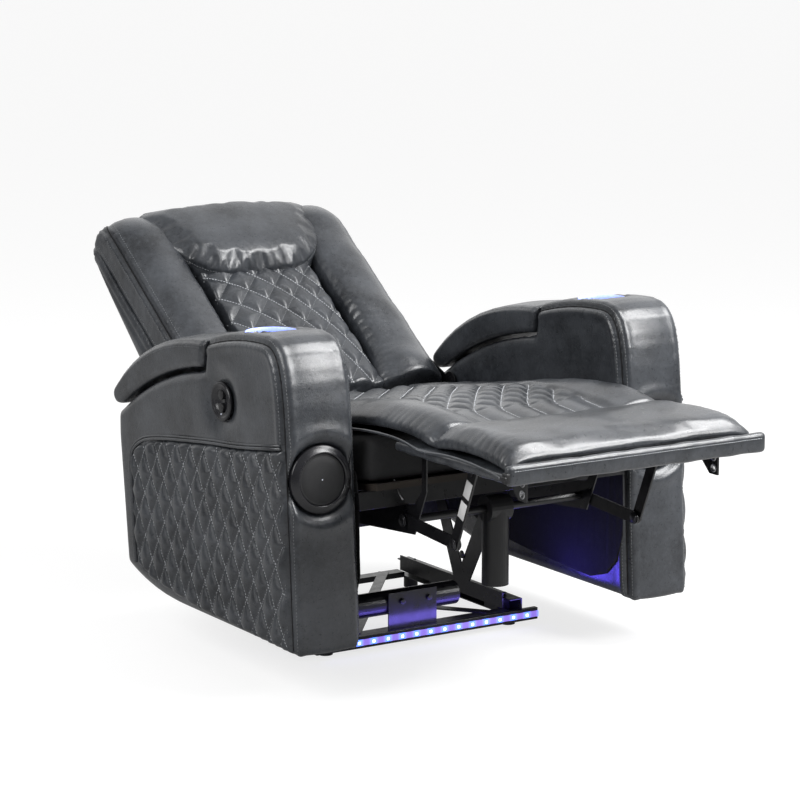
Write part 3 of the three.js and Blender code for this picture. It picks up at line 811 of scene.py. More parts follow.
def to_polyline(points: Points, line: Points) -> tuple[Points, Points]:
    """Distance of points to a line of points, and how far along it the nearest place is.

    Args:
        points: The points to measure from.
        line: The line's points in order.

    Returns:
        The distances, and the places along the line in metres.
    """
    steps = np.linalg.norm(np.diff(line, axis=0), axis=1)
    starts = np.concatenate([[0], np.cumsum(steps)])
    best = np.full(len(points), np.inf)
    place = np.zeros(len(points))
    for k in range(len(line) - 1):
        a, b = line[k], line[k + 1]
        t = np.clip(((points - a) @ (b - a)) / max(steps[k] ** 2, 1e-12), 0, 1)
        d = np.linalg.norm(points - a - t[:, None] * (b - a), axis=1)
        nearer = d < best
        best[nearer] = d[nearer]
        place[nearer] = starts[k] + t[nearer] * steps[k]
    return best, place


def pleats(along: Points, pitch: float, seed: float) -> Points:
    """Gathered leather along a seam: rounded bulges of uneven size with sharp creases between."""
    u = along / pitch + 0.16 * np.sin(along * 37 + seed) + 0.10 * np.sin(along * 71 + 2 * seed)
    bulge = np.abs(np.sin(np.pi * u + seed)) ** 0.6
    return (bulge - 0.7) * (0.8 + 0.3 * np.sin(along * 23 + 3 * seed))


def gathers(along: Points, away: Points, *, depth: float, pitch: float, seed: float, reach: float) -> Points:
    """Pleats along a seam, which die out away from it.

    Args:
        along: How far along the seam each point is.
        away: How far it is from where the pleats start to die out.
        depth: How high the pleats stand.
        pitch: The distance between them.
        seed: Which of many uneven rows it is.
        reach: The distance over which they die out.

    Returns:
        How far each point moves outward.
    """
    return depth * pleats(along, pitch, seed) * fade(away, reach)


def cut_round(points: Sequence[Sequence[float]], passes: int) -> Points:
    """A line with its corners cut round and its ends kept."""
    line = np.array(points, float)
    for _ in range(passes):
        first = line[:-1] * 0.75 + line[1:] * 0.25
        second = line[:-1] * 0.25 + line[1:] * 0.75
        inner = np.stack([first, second], axis=1).reshape(-1, line.shape[1])
        line = np.concatenate([line[:1], inner[1:-1], line[-1:]])
    return line


def along_curve(value: Points, knots: Sequence[Pair]) -> Points:
    """A smooth curve near knots of (value, height), read at values."""
    line = cut_round(knots, 4)
    return np.interp(value, line[:, 0], line[:, 1])


Family = tuple[float, float, float, float, float, float]


@dataclass(frozen=True)
class Diamonds:
    """A diamond quilting of two families of stitched lines in a plane.

    Each family counts its lines by x, y, x squared, x times y, y squared and 1, times its six
    numbers. Rising lines may run straight below a place, and falling lines may stop at one.
    """

    falling: Family
    rising: Family
    swell: float
    straight_below: float = -9.0
    falling_from: float = -9.0

    def eased(self, y: Points) -> Points:
        """The y that rising lines follow: level below the place where they run straight."""
        soft = 0.014
        return self.straight_below + soft * np.logaddexp(0, (np.asarray(y) - self.straight_below) / soft)

    def turns(self, x: Points, y: Points) -> tuple[Points, Points]:
        """How many falling and rising lines lie before a place."""
        counts = []
        for family, level in ((self.falling, y), (self.rising, self.eased(y))):
            a, b, c, d, e, f = family
            counts.append(a * x + b * level + c * x * x + d * x * level + e * level * level + f)
        return counts[0], counts[1]

    def height(self, x: Points, y: Points) -> Points:
        """How far the quilting stands up at places in its plane."""
        falling, rising = self.turns(x, y)
        from_falling = np.abs(falling - np.round(falling)) * 2 + smooth_step(self.falling_from - y, 0, 0.02)
        from_rising = np.abs(rising - np.round(rising)) * 2
        share = np.clip(np.minimum(from_falling, from_rising), 0, 1)
        return self.swell * (1 - (1 - share) ** 2.3)

    def lines(self, low: Pair, high: Pair, inside: Callable[[float, float], bool],
              families: Sequence[int] = (0, 1)) -> list[list[Pair]]:
        """The stitched lines within a region.

        Args:
            low: The lowest corner of the region's box.
            high: Its highest corner.
            inside: Tells whether a place is in the region.
            families: Which lines are wanted: 0 for falling and 1 for rising ones.

        Returns:
            Runs of points in the quilting's plane.
        """
        step = 0.004
        xs = np.linspace(low[0], high[0], 161)
        open_runs: dict[tuple[int, int], list[Pair]] = {}
        runs = []
        for y in np.arange(low[1], high[1] + step, step):
            met = {}
            for family, counts in enumerate(self.turns(xs, np.full_like(xs, y))):
                if family not in families or (family == 0 and y < self.falling_from):
                    continue
                for k in range(math.ceil(counts[0]), math.floor(counts[-1]) + 1):
                    x = float(np.interp(k, counts, xs))
                    if inside(x, float(y)):
                        met[family, k] = (x, float(y))
            for key in [key for key in open_runs if key not in met]:
                runs.append(open_runs.pop(key))
            for key, place in met.items():
                open_runs.setdefault(key, []).append(place)
        return [run for run in [*runs, *open_runs.values()] if len(run) > 2]


def even_diamonds(wide: float, tall: float, swell: float, **rest: float) -> Diamonds:
    """An even diamond quilting of a width, a height and a swell."""
    return Diamonds((1 / wide, 1 / tall, 0, 0, 0, 0), (1 / wide, -1 / tall, 0, 0, 0, 0), swell, **rest)


@dataclass
class Row:
    """A row of stitches: points near the surface and the way out of it."""

    points: list[Vector]
    out: Vector | list[Vector]

    def outward(self, k: int) -> Vector:
        """The way out at a point of the row."""
        return self.out[min(k, len(self.out) - 1)] if isinstance(self.out, list) else self.out


@dataclass(frozen=True)
class Needle:
    """Sews rows of separate raised stitches onto a surface."""

    pitch: float
    length: float
    thick: float
    reach: float

    def stitch(self) -> bpy.types.Mesh:
        """One stitch along X, lying on z = 0."""
        shape = bmesh.new()
        bmesh.ops.create_icosphere(shape, subdivisions=1, radius=0.5,
                                   matrix=Matrix.Diagonal((self.length, self.thick, self.thick, 1)))
        mesh = bpy.data.meshes.new("stitch")
        shape.to_mesh(mesh)
        shape.free()
        return mesh

    def sew(self, rows: Iterable[Row], surface: BVHTree) -> Shape:
        """Lay the rows' stitches on a surface.

        Args:
            rows: The rows to sew.
            surface: The surface that they lie on.

        Returns:
            One bmesh of all the stitches.
        """
        cloth = bmesh.new()
        one = self.stitch()
        rest = np.empty(len(one.vertices) * 3, np.float32)
        one.vertices.foreach_get("co", rest)
        for row in rows:
            for centre, ahead, out in self.places(row):
                hit, normal, _, _ = surface.ray_cast(centre + out * self.reach, -out, 2 * self.reach)
                if hit is None:
                    continue
                along = (ahead - normal * ahead.dot(normal)).normalized()
                across = normal.cross(along)
                turn = Matrix((along, across, normal)).transposed().to_4x4()
                one.transform(Matrix.Translation(hit + normal * self.thick * 0.2) @ turn)
                cloth.from_mesh(one)
                one.vertices.foreach_set("co", rest)
        bpy.data.meshes.remove(one)
        return cloth

    def places(self, row: Row) -> Iterable[tuple[Vector, Vector, Vector]]:
        """The middle, direction and way out of each stitch of a row."""
        left = self.pitch / 2
        for k in range(len(row.points) - 1):
            a, b = row.points[k], row.points[k + 1]
            span = (b - a).length
            if span < 1e-7:
                continue
            ahead = (b - a) / span
            while left < span:
                yield a + ahead * left, ahead, row.outward(k)
                left += self.pitch
            left -= span


def surface_of(thing: Thing) -> BVHTree:
    """The surface of an object that sits at the origin, as a tree to cast rays at."""
    return BVHTree.FromPolygons([v.co.copy() for v in thing.data.vertices],
                                [list(p.vertices) for p in thing.data.polygons])


def cord_along(points: Sequence[Vector], radius: float) -> Shape:
    """A round cord along points, for piping and wire."""
    curve = bpy.data.curves.new("cord", "CURVE")
    curve.dimensions = "3D"
    curve.bevel_depth = radius
    curve.bevel_resolution = 2
    curve.use_fill_caps = True
    spline = curve.splines.new("POLY")
    spline.points.add(len(points) - 1)
    for held, place in zip(spline.points, points):
        held.co = (*place, 1)
    thing = bpy.data.objects.new("cord", curve)
    bpy.context.scene.collection.objects.link(thing)
    shape = evaluated(thing)
    bpy.data.curves.remove(curve)
    bmesh.ops.remove_doubles(shape, verts=shape.verts, dist=1e-6)
    bmesh.ops.recalc_face_normals(shape, faces=shape.faces)
    return shape


def laid_cords(rows: Iterable[Row], surface: BVHTree, radius: float) -> Shape:
    """Thin dark cords half sunk in a surface: painted shade along the lines of its seams.

    Args:
        rows: The lines to follow, near the surface.
        surface: The surface that they lie in.
        radius: The cords' radius.

    Returns:
        One bmesh of all the cords.
    """
    reach = 0.03
    cords = []
    for row in rows:
        laid = []
        for k, point in enumerate(row.points):
            out = row.outward(k)
            hit, normal, _, _ = surface.ray_cast(point + out * reach, -out, 2 * reach)
            if hit is not None:
                laid.append(hit + normal * radius * 0.1)
        if len(laid) > 3:
            cords.append(cord_along(laid, radius))
    return merged(cords)


# The chair's sub-assemblies


@dataclass
class Setting:
    """What every sub-assembly shares: the frame, the workshop and where the chair stands."""

    frame: dict
    shop: Workshop
    front: float
    back_pivot: Vector
    back_lean: float = math.radians(35)
    seat_tilt: float = math.radians(8.5)
    seat_front: float = -0.020
    seat_foot: float = 0.402

    def at(self, x: float, y: float, z: float) -> Vector:
        """A point given from the plane of the arms' front, the middle and the floor."""
        return Vector((x, self.front + y, z))

    @property
    def back(self) -> Matrix:
        """From the back's own frame, with y up the back and z out of it, to the chair's."""
        return Matrix.Translation(self.back_pivot) @ Matrix.Rotation(self.back_lean, 4, "X")

    @property
    def seat(self) -> Matrix:
        """From the tilted seat's own frame to the chair's."""
        return (Matrix.Translation(self.at(0, self.seat_front, self.seat_foot))
                @ Matrix.Rotation(-self.seat_tilt, 4, "X"))


@dataclass
class Part:
    """What each part of the scene has: its setting, and short ways to place and make pieces."""

    setting: Setting

    def at(self, x: float, y: float, z: float) -> Vector:
        """A point given from the plane of the arms' front, the middle and the floor."""
        return self.setting.at(x, y, z)

    def cad(self, node: str) -> Shape:
        """A welded copy of a CAD node's mesh."""
        return cad_copy(self.setting.frame, node)

    def add(self, name: str, shape: Shape, finish: str, body: str | None,
            replaces: Sequence[str] = (), smooth: bool = True) -> Thing:
        """Make one of its pieces in the workshop."""
        return self.setting.shop.piece(name, shape, finish, body, replaces, smooth)


@dataclass
class Arm(Part):
    """One arm: its padded shell, quilted panel, lid, cup holder, speaker, and a black cloth over its inner
    face as painted shade.
    """

    side: Side
    outer: float = 0.460
    width: float = 0.155
    bottom: float = 0.098
    top: float = 0.671
    lean: float = 0.022
    lean_top: float = 0.450
    nose: float = 0.110
    notch: float = 0.320
    notch_top: float = 0.640
    seam_inset: float = 0.006
    crown: float = 0.008
    voxel: float = 0.0045
    strip_points: int = 90
    seam_depth: float = 0.0052
    seam_width: float = 0.0046
    seam_swell: float = 0.0026
    dish_depth: float = 0.0120
    dish_radius: float = 0.060
    dish_lip: float = 0.0030
    dial_dip: float = 0.0085
    dial_radius: float = 0.036
    quilting: Diamonds = field(default_factory=lambda: even_diamonds(0.054, 0.086, 0.0092))
    panel_front: float = 0.014
    panel_upper: Knots = (
        (0.036, 0.4772), (0.191, 0.454), (0.290, 0.446), (0.420, 0.430), (0.482, 0.422), (0.556, 0.409),
        (0.588, 0.397), (0.610, 0.383), (0.625, 0.363))
    panel_rear: Knots = ((0.151, 0.607), (0.161, 0.609), (0.259, 0.618), (0.363, 0.625))
    panel_lower: Knots = ((0.007, 0.1015), (0.361, 0.109), (0.546, 0.129), (0.609, 0.151))
    speaker_z: float = 0.417

    def x(self, inset: float) -> float:
        """The x that lies a distance inside the arm's outer face."""
        return self.side.value * (self.outer - inset)

    def outline(self, inset: float = 0.0) -> tuple[Points, Points]:
        """The padded strip's path over the front and top of the arm.

        Args:
            inset: How far inside the outline the path lies.

        Returns:
            The points as (y, z) from the arm's front and the floor, and their outward normals.
        """
        rise = self.top - self.lean_top
        t = np.linspace(0, 1, 40)[:, None]
        front = np.array([[0, self.bottom]]) * (1 - t) + np.array([[self.lean, self.lean_top]]) * t
        a, b, c, d = (np.array(p) for p in (
            (self.lean, self.lean_top), (self.lean * 1.4, self.lean_top + rise * 0.75),
            (self.nose * 0.4, self.top), (self.nose, self.top)))
        nose = a * (1 - t) ** 3 + 3 * b * t * (1 - t) ** 2 + 3 * c * t ** 2 * (1 - t) + d * t ** 3
        e, f = np.array(((self.nose + self.notch) / 2, self.top)), np.array((self.notch, self.notch_top))
        top = d * (1 - t) ** 2 + 2 * e * t * (1 - t) + f * t ** 2
        line = np.concatenate([front, nose[1:], top[1:]])
        run = np.concatenate([[0], np.cumsum(np.linalg.norm(np.diff(line, axis=0), axis=1))])
        even = np.linspace(0, run[-1], self.strip_points)
        line = np.stack([np.interp(even, run, line[:, k]) for k in range(2)], axis=1)
        ahead = np.gradient(line, axis=0)
        ahead /= np.linalg.norm(ahead, axis=1, keepdims=True)
        normal = np.stack([-ahead[:, 1], ahead[:, 0]], axis=1)
        return line - normal * inset, normal

    def seam(self, inset: float, depth: float) -> Points:
        """A seam along the strip, as points of the chair.

        Args:
            inset: How far it lies inside the arm's outer face.
            depth: How far it lies inside the outline.

        Returns:
            An array of points.
        """
        line, _ = self.outline(depth)
        return np.array([self.at(self.x(inset), y, z) for y, z in line])

    def speaker_place(self) -> Matrix:
        """The middle of the speaker, with Z out of the arm's leaning front."""
        lean = math.atan2(self.lean, self.lean_top - self.bottom)
        y = self.lean * (self.speaker_z - self.bottom) / (self.lean_top - self.bottom)
        return (Matrix.Translation(self.at(self.x(self.width / 2), y, self.speaker_z))
                @ Matrix.Rotation(math.pi / 2 - lean, 4, "X"))

    def build(self) -> None:
        """Make every piece of the arm."""
        shell = self.build_shell()
        self.build_seam_stitches(shell)
        self.build_panel()
        self.build_lid()
        self.build_cup_holder()
        self.build_speaker()
        self.build_lining(shell)

    def build_shell(self) -> Thing:
        """The arm's leather over foam, with its wells, seams, crown and puckers."""
        word = self.side.word
        skin = remeshed(self.cad(f"arm_{word}"), self.voxel, 5)
        outer_seam = self.seam(self.seam_inset, self.seam_inset)
        inner_seam = self.seam(self.width - self.seam_inset, self.seam_inset)
        line, _ = self.outline()
        outline3 = np.array([self.at(0, y, z) for y, z in line])
        middle = self.x(self.width / 2)
        speaker = np.array(self.speaker_place().translation)

        def shape(points: Points, normals: Points) -> Points:
            """Crown the strip, sink its seams, dish the fittings and gather the leather."""
            flat = points.copy()
            flat[:, 0] = 0
            from_line, _ = to_polyline(flat, outline3)
            across = (points[:, 0] - middle) / (self.width / 2)
            on_strip = np.clip(1 - from_line / 0.012, 0, 1)
            rise = self.crown * on_strip * np.clip(1 - across ** 2, 0, 1) ** 0.8
            away = np.linalg.norm((points - speaker)[:, [0, 2]], axis=1)
            on_front = smooth_step(-normals[:, 1], 0.6, 0.9)
            rise = rise - self.dish_depth * bell(np.maximum(away - self.dish_radius, 0), 0.015) * on_front
            rise = rise + self.dish_lip * bell(away - 0.088, 0.013) * on_front
            offset = normals * rise[:, None]
            for seam, gather in ((outer_seam, 1.0), (inner_seam, 0.7)):
                far, place = to_polyline(points, seam)
                groove = self.seam_depth * bell(far, self.seam_width)
                swell = self.seam_swell * bell(far - 0.014, 0.007)
                curve = smooth_step(place, 0.44, 0.52) * (1 - smooth_step(place, 0.64, 0.74))
                beside = smooth_step(np.abs(normals[:, 0]), 0.4, 0.8)
                pucker = gather * curve * beside * gathers(place, far - 0.004, depth=0.0026, pitch=0.0155,
                                                           seed=gather, reach=0.014)
                even = gathers(place, np.abs(far - 0.010), depth=0.00035, pitch=0.027, seed=2 + gather,
                               reach=0.006)
                offset += normals * (swell - groove + pucker + even)[:, None]
            if self.side is Side.RIGHT:
                dial = np.hypot(points[:, 1] - self.setting.front - DIAL_Y, points[:, 2] - DIAL_Z)
                faces_out = normals[:, 0] < -0.5
                dip = self.dial_dip * bell(np.maximum(dial - self.dial_radius, 0), 0.024) * faces_out
                offset[:, 0] += dip * (dial > 0.030)
            return offset

        shell = self.add(f"arm_shell_{word}", pushed(skin, shape), "leather", "carriage", [f"arm_{word}"])
        return shell

    def build_seam_stitches(self, shell: Thing) -> None:
        """Rows of stitches on both sides of the outer seam and along the inner one."""
        surface = surface_of(shell)
        rows = []
        line, normal = self.outline()
        sign = self.side.value
        for inset, depth, out_x in ((0.0, 0.014, 1.0), (0.013, 0.0, 0.1), (self.width - 0.013, 0.0, -0.1),
                                    (self.width, 0.014, -1.0)):
            points, outs = [], []
            for (y, z), (ny, nz) in zip(line, normal):
                points.append(self.at(self.x(inset), y - ny * depth, z - nz * depth))
                weight = 1 - abs(out_x)
                outs.append(Vector((sign * out_x, ny * weight, nz * weight)).normalized())
            rows.append(Row(points, outs))
        needle = Needle(pitch=0.0064, length=0.0046, thick=0.0012, reach=0.02)
        self.add(f"arm_stitches_{self.side.word}", needle.sew(rows, surface), "thread_dark", "carriage")
        # Dark cords along the seams' creases: painted shade.
        creases = []
        for inset in (0.0035, self.width - 0.0035):
            points = [self.at(self.x(inset), y - ny * 0.0035, z - nz * 0.0035)
                      for (y, z), (ny, nz) in zip(line, normal)]
            lean = sign if inset < self.width / 2 else -sign
            outs = [Vector((lean, ny, nz)).normalized() for ny, nz in normal]
            creases.append(Row(points, outs))
        self.add(f"arm_creases_{self.side.word}", laid_cords(creases, surface, 0.0013), "seam", "carriage")

    def panel_top(self, y: Points) -> Points:
        """The height of the quilted panel's upper edge at a distance from the arm's front."""
        return np.interp(y, *zip(*self.panel_upper))

    def panel_low(self, y: Points) -> Points:
        """The height of its lower edge."""
        return np.interp(y, *zip(*self.panel_lower))

    def panel_end(self, z: Points) -> Points:
        """How far back the panel reaches at a height."""
        return np.interp(z, *zip(*self.panel_rear))

    def panel_start(self, z: Points) -> Points:
        """Where the panel starts at a height, just behind the leaning front seam."""
        return 0.0085 + self.lean * (z - self.bottom) / (self.lean_top - self.bottom)

    def build_panel(self) -> None:
        """The quilted side panel with its piping and its stitches."""
        word, sign = self.side.word, self.side.value
        columns, rows = 176, 112
        shape = bmesh.new()
        bmesh.ops.create_grid(shape, x_segments=columns, y_segments=rows, size=1)
        base = self.outer - 0.0078
        long = self.panel_end(np.array(0.30)) - self.panel_front

        def lay(points: Points, _: Points) -> Points:
            """Lay the unit grid on the panel's outline and quilt it."""
            u, v = (points[:, 0] + 1) / 2, (points[:, 1] + 1) / 2
            y = self.panel_front + u * long
            z = self.panel_low(y) + v * (self.panel_top(y) - self.panel_low(y))
            y = self.panel_start(z) + u * (self.panel_end(z) - self.panel_start(z))
            z = self.panel_low(y) + v * (self.panel_top(y) - self.panel_low(y))
            edge = np.minimum(np.minimum(u, 1 - u) * long,
                              np.minimum(v, 1 - v) * (self.panel_top(y) - self.panel_low(y)))
            hem = np.sqrt(np.clip(edge / 0.011, 0, 1))
            x = sign * (base + hem * (0.0080 + self.quilting.height(y, z)))
            moved = np.stack([x, self.setting.front + y, z], axis=1)
            return moved - points

        pushed(shape, lay)
        rim = [e for e in shape.edges if e.is_boundary]
        grown = bmesh.ops.extrude_edge_only(shape, edges=rim)["geom"]
        for vertex in (g for g in grown if isinstance(g, bmesh.types.BMVert)):
            vertex.co.x = sign * (base - 0.0002)
        bmesh.ops.edgeloop_fill(shape, edges=[e for e in shape.edges if e.is_boundary])
        bmesh.ops.recalc_face_normals(shape, faces=shape.faces)
        panel = self.add(f"quilt_panel_{word}", shape, "leather", "carriage", [f"arm_panel_{word}"])

        def inside(y: float, z: float) -> bool:
            """Whether a place is on the panel, away from its rim."""
            rim_gap = 0.006
            return (float(self.panel_start(z)) + rim_gap < y < float(self.panel_end(z)) - rim_gap
                    and float(self.panel_low(y)) + rim_gap < z < float(self.panel_top(y)) - rim_gap)

        out = Vector((sign, 0, 0))
        stitched = [Row([self.at(sign * self.outer, y, z) for y, z in run], out)
                    for run in self.quilting.lines((self.panel_front, 0.10), (0.626, 0.482), inside)]
        needle = Needle(pitch=0.0060, length=0.0045, thick=0.0014, reach=0.02)
        self.add(f"quilt_stitches_{word}", needle.sew(stitched, surface_of(panel)), "thread", "carriage")
        corner = [*self.panel_upper, *[(y, z) for z, y in reversed(self.panel_rear[:-1])]]
        path = cut_round(corner, 3)
        cords = []
        for rise, radius in ((0.0020, 0.0036), (0.0078, 0.0024)):
            ahead = np.gradient(path, axis=0)
            ahead /= np.linalg.norm(ahead, axis=1, keepdims=True)
            edge = path + np.stack([-ahead[:, 1], ahead[:, 0]], axis=1) * rise
            cords.append(cord_along([self.at(sign * (self.outer + 0.0004), y, z) for y, z in edge], radius))
        self.add(f"quilt_piping_{word}", merged(cords), "leather", "carriage")

    def build_lid(self) -> None:
        """The storage lid, padded and seamed along both sides."""
        word, sign = self.side.word, self.side.value
        lid = remeshed(self.cad(f"storage_lid_{word}"), 0.004, 5)
        low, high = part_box(f"storage_lid_{word}")
        middle = (low.x + high.x) / 2
        half = (high.x - low.x) / 2

        def shape(points: Points, normals: Points) -> Points:
            """Crown the top, and sink a seam along each upper edge and round the front end."""
            across = (points[:, 0] - middle) / half
            up = np.clip(normals[:, 2], 0, 1)
            rise = 0.007 * up * np.clip(1 - across ** 2, 0, 1)
            edge = bell(np.abs(normals[:, 0]) - 0.60, 0.16) * smooth_step(normals[:, 2], 0.15, 0.5)
            end = bell(points[:, 1] - low.y - 0.009, 0.0030) * (normals[:, 1] > -0.5)
            gather = gathers(points[:, 2], np.abs(points[:, 1] - low.y - 0.015), depth=0.0012, pitch=0.012,
                             seed=0.4, reach=0.012) * (np.abs(normals[:, 0]) > 0.6)
            return normals * (rise - 0.0024 * (edge + end) + gather)[:, None]

        piece = self.add(f"lid_pad_{word}", pushed(lid, shape), "leather", f"lid_{word}",
                         [f"storage_lid_{word}"])
        surface = surface_of(piece)
        rows = []
        for offset in (-1, 1):
            x = middle + offset * (half - 0.013)
            points = [Vector((x, y, high.z + 0.01)) for y in np.linspace(low.y + 0.01, high.y - 0.03, 60)]
            rows.append(Row(points, Vector((0, 0.25, 1)).normalized()))
        ridge = []
        for y in np.linspace(low.y + 0.015, high.y - 0.05, 60):
            hit = surface.ray_cast(Vector((self.x(0.010), y, high.z + 0.05)), Vector((0, 0, -1)), 0.4)[0]
            if hit is not None:
                ridge.append(Vector((self.x(0), y, hit.z - 0.014)))
        rows.append(Row(ridge, Vector((sign, 0, 0))))
        needle = Needle(pitch=0.0066, length=0.0046, thick=0.0010, reach=0.25)
        self.add(f"lid_stitches_{word}", needle.sew(rows, surface), "thread_dark", f"lid_{word}")

    def build_cup_holder(self) -> None:
        """The cup holder's liner and its lit ring."""
        word = self.side.word
        low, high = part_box(f"cup_holder_{word}")
        centre = Matrix.Translation(foot_of(f"cup_holder_{word}"))
        rim, top = (high.x - low.x) / 2, high.z - low.z
        wall = 0.0016
        bore = 0.0447
        profile = [(0, 0), (bore - 0.006, 0), (bore - 0.001, 0.002), (bore, 0.008), (bore, top - 0.003),
                   (rim - 0.001, top - 0.003), (rim, top - 0.002), (rim - 0.001, top),
                   (bore + 0.001, top), (bore - wall, top - 0.003), (bore - wall, 0.009),
                   (bore - wall - 0.004, 0.003), (0, wall)]
        self.add(f"cup_liner_{word}", lathe(profile, centre, 56), "gloss", "carriage", [f"cup_holder_{word}"])
        low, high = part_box(f"lit_ring_{word}")
        r = (high.x - low.x) / 2 - 0.0006
        band = [(r - 0.0014, 0), (r, 0), (r, 0.0150), (r - 0.0006, 0.0156), (r - 0.0014, 0.0150)]
        place = Matrix.Translation(foot_of(f"lit_ring_{word}"))
        self.add(f"cup_glow_{word}", lathe(band, place, 56), "ring", "carriage", [f"lit_ring_{word}"])

    def build_speaker(self) -> None:
        """The round speaker in the arm's front: a dished ring and a cloth face with a dot."""
        word = self.side.word
        place = self.speaker_place()
        ring = [(0.0480, -0.0120), (0.0642, -0.0120), (0.0642, -0.0020), (0.0636, -0.0006), (0.0620, 0.0006),
                (0.0520, 0.0056), (0.0505, 0.0060), (0.0492, 0.0056), (0.0484, 0.0044), (0.0480, 0.0020)]
        self.add(f"speaker_rim_{word}", lathe(ring, place, 88), "gloss", "carriage", [f"speaker_ring_{word}"])
        face = [(0.0, -0.0058), (0.0479, -0.0058), (0.0479, 0.0016), (0.0468, 0.0024), (0.0452, 0.0025),
                (0.0445, 0.0019), (0.0436, 0.0024), (0.030, 0.0027), (0.0, 0.0029)]
        self.add(f"speaker_face_{word}", lathe(face, place, 88), "cloth", "carriage",
                 [f"speaker_grille_{word}"])
        front = place @ Matrix.Translation((0, 0, 0.0030))
        self.add(f"speaker_dot_{word}", disc(0.0013, 0.0006, 0.0002, front, 12), "dot", "carriage")

    def build_lining(self, shell: Thing) -> None:
        """Black cloth over the arm's inner face: painted shade, as that face lies in shadow."""
        sign = self.side.value
        edge = cut_round([(0.300, 0.430), (0.040, 0.430), (0.018, 0.408), (0.013, 0.118), (0.300, 0.130),
                          (0.520, 0.152), (0.596, 0.200), (0.600, 0.430), (0.300, 0.430)], 2)[:-1]
        sheet = bmesh.new()
        sheet.faces.new([sheet.verts.new((0, y, z)) for y, z in edge])
        bmesh.ops.triangulate(sheet, faces=sheet.faces[:])
        cuts = [(Vector((0, 0, z)), Vector((0, 0, 1))) for z in np.arange(0.13, 0.43, 0.012)]
        cuts += [(Vector((0, y, 0)), Vector((0, 1, 0))) for y in np.arange(0.02, 0.60, 0.006)]
        for place, normal in cuts:
            bmesh.ops.bisect_plane(sheet, geom=sheet.verts[:] + sheet.edges[:] + sheet.faces[:],
                                   plane_co=place, plane_no=normal, dist=1e-5)
        area = sum(face.calc_area() for face in sheet.faces)
        inner = self.outer - self.width

        def hang(points: Points, _: Points) -> Points:
            """Hang the cloth on the arm's face with soft upright folds near the front."""
            y, z = points[:, 1], points[:, 2]
            slack = smooth_step(z, 0.13, 0.25) * (1 - smooth_step(z, 0.36, 0.43))
            folds = 0.0030 * np.abs(ripple(y, 0.052, 0.6)) * bell(y - 0.06, 0.07)
            folds = folds + 0.0016 * np.abs(ripple(y + 0.4 * z, 0.11, 1.7))
            x = sign * (inner - 0.0007 - folds * (0.3 + 0.7 * slack))
            return np.stack([x, np.full_like(y, self.setting.front), np.zeros_like(z)], axis=1)

        pushed(sheet, hang)
        bmesh.ops.recalc_face_normals(sheet, faces=sheet.faces)
        bmesh.ops.solidify(sheet, geom=sheet.faces[:], thickness=0.0007)
        bmesh.ops.recalc_face_normals(sheet, faces=sheet.faces)
        shade_lining = self.add(f"arm_lining_{self.side.word}", sheet, "shade_lining", "carriage")


@dataclass
class ControlPanel(Part):
    """The round dial in the sitter's right arm, with its two buttons."""

    radius: float = 0.0375

    def build(self) -> None:
        """Make the bezel, its rings, its dot and the buttons' caps."""
        low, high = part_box("control_panel")
        place = Matrix.Translation(self.at(low.x, DIAL_Y, DIAL_Z)) @ Matrix.Rotation(-math.pi / 2, 4, "Y")
        thick = high.x - low.x
        r = self.radius
        profile = [(0.0, -thick), (r, -thick), (r, 0.0), (r - 0.001, 0.0020), (r - 0.004, 0.0028),
                   (r - 0.007, 0.0016), (r - 0.009, -0.0002), (r - 0.0115, -0.0006), (r - 0.0125, 0.0006),
                   (r - 0.0140, 0.0006), (r - 0.0150, -0.0032), (0.0, -0.0032)]
        self.add("dial_bezel", lathe(profile, place, 64), "gloss", "carriage", ["control_panel"])
        for name in ("button_return", "button_recline"):
            self.add(f"{name}_cap", edged_copy(self.setting.frame, name, 0.0008), "plastic", name, [name])
        spot = Matrix.Translation((-0.0006, 0, -0.0243)) @ place
        self.add("dial_dot", disc(0.0014, 0.0010, 0.0002, spot, 12), "dot", "carriage")


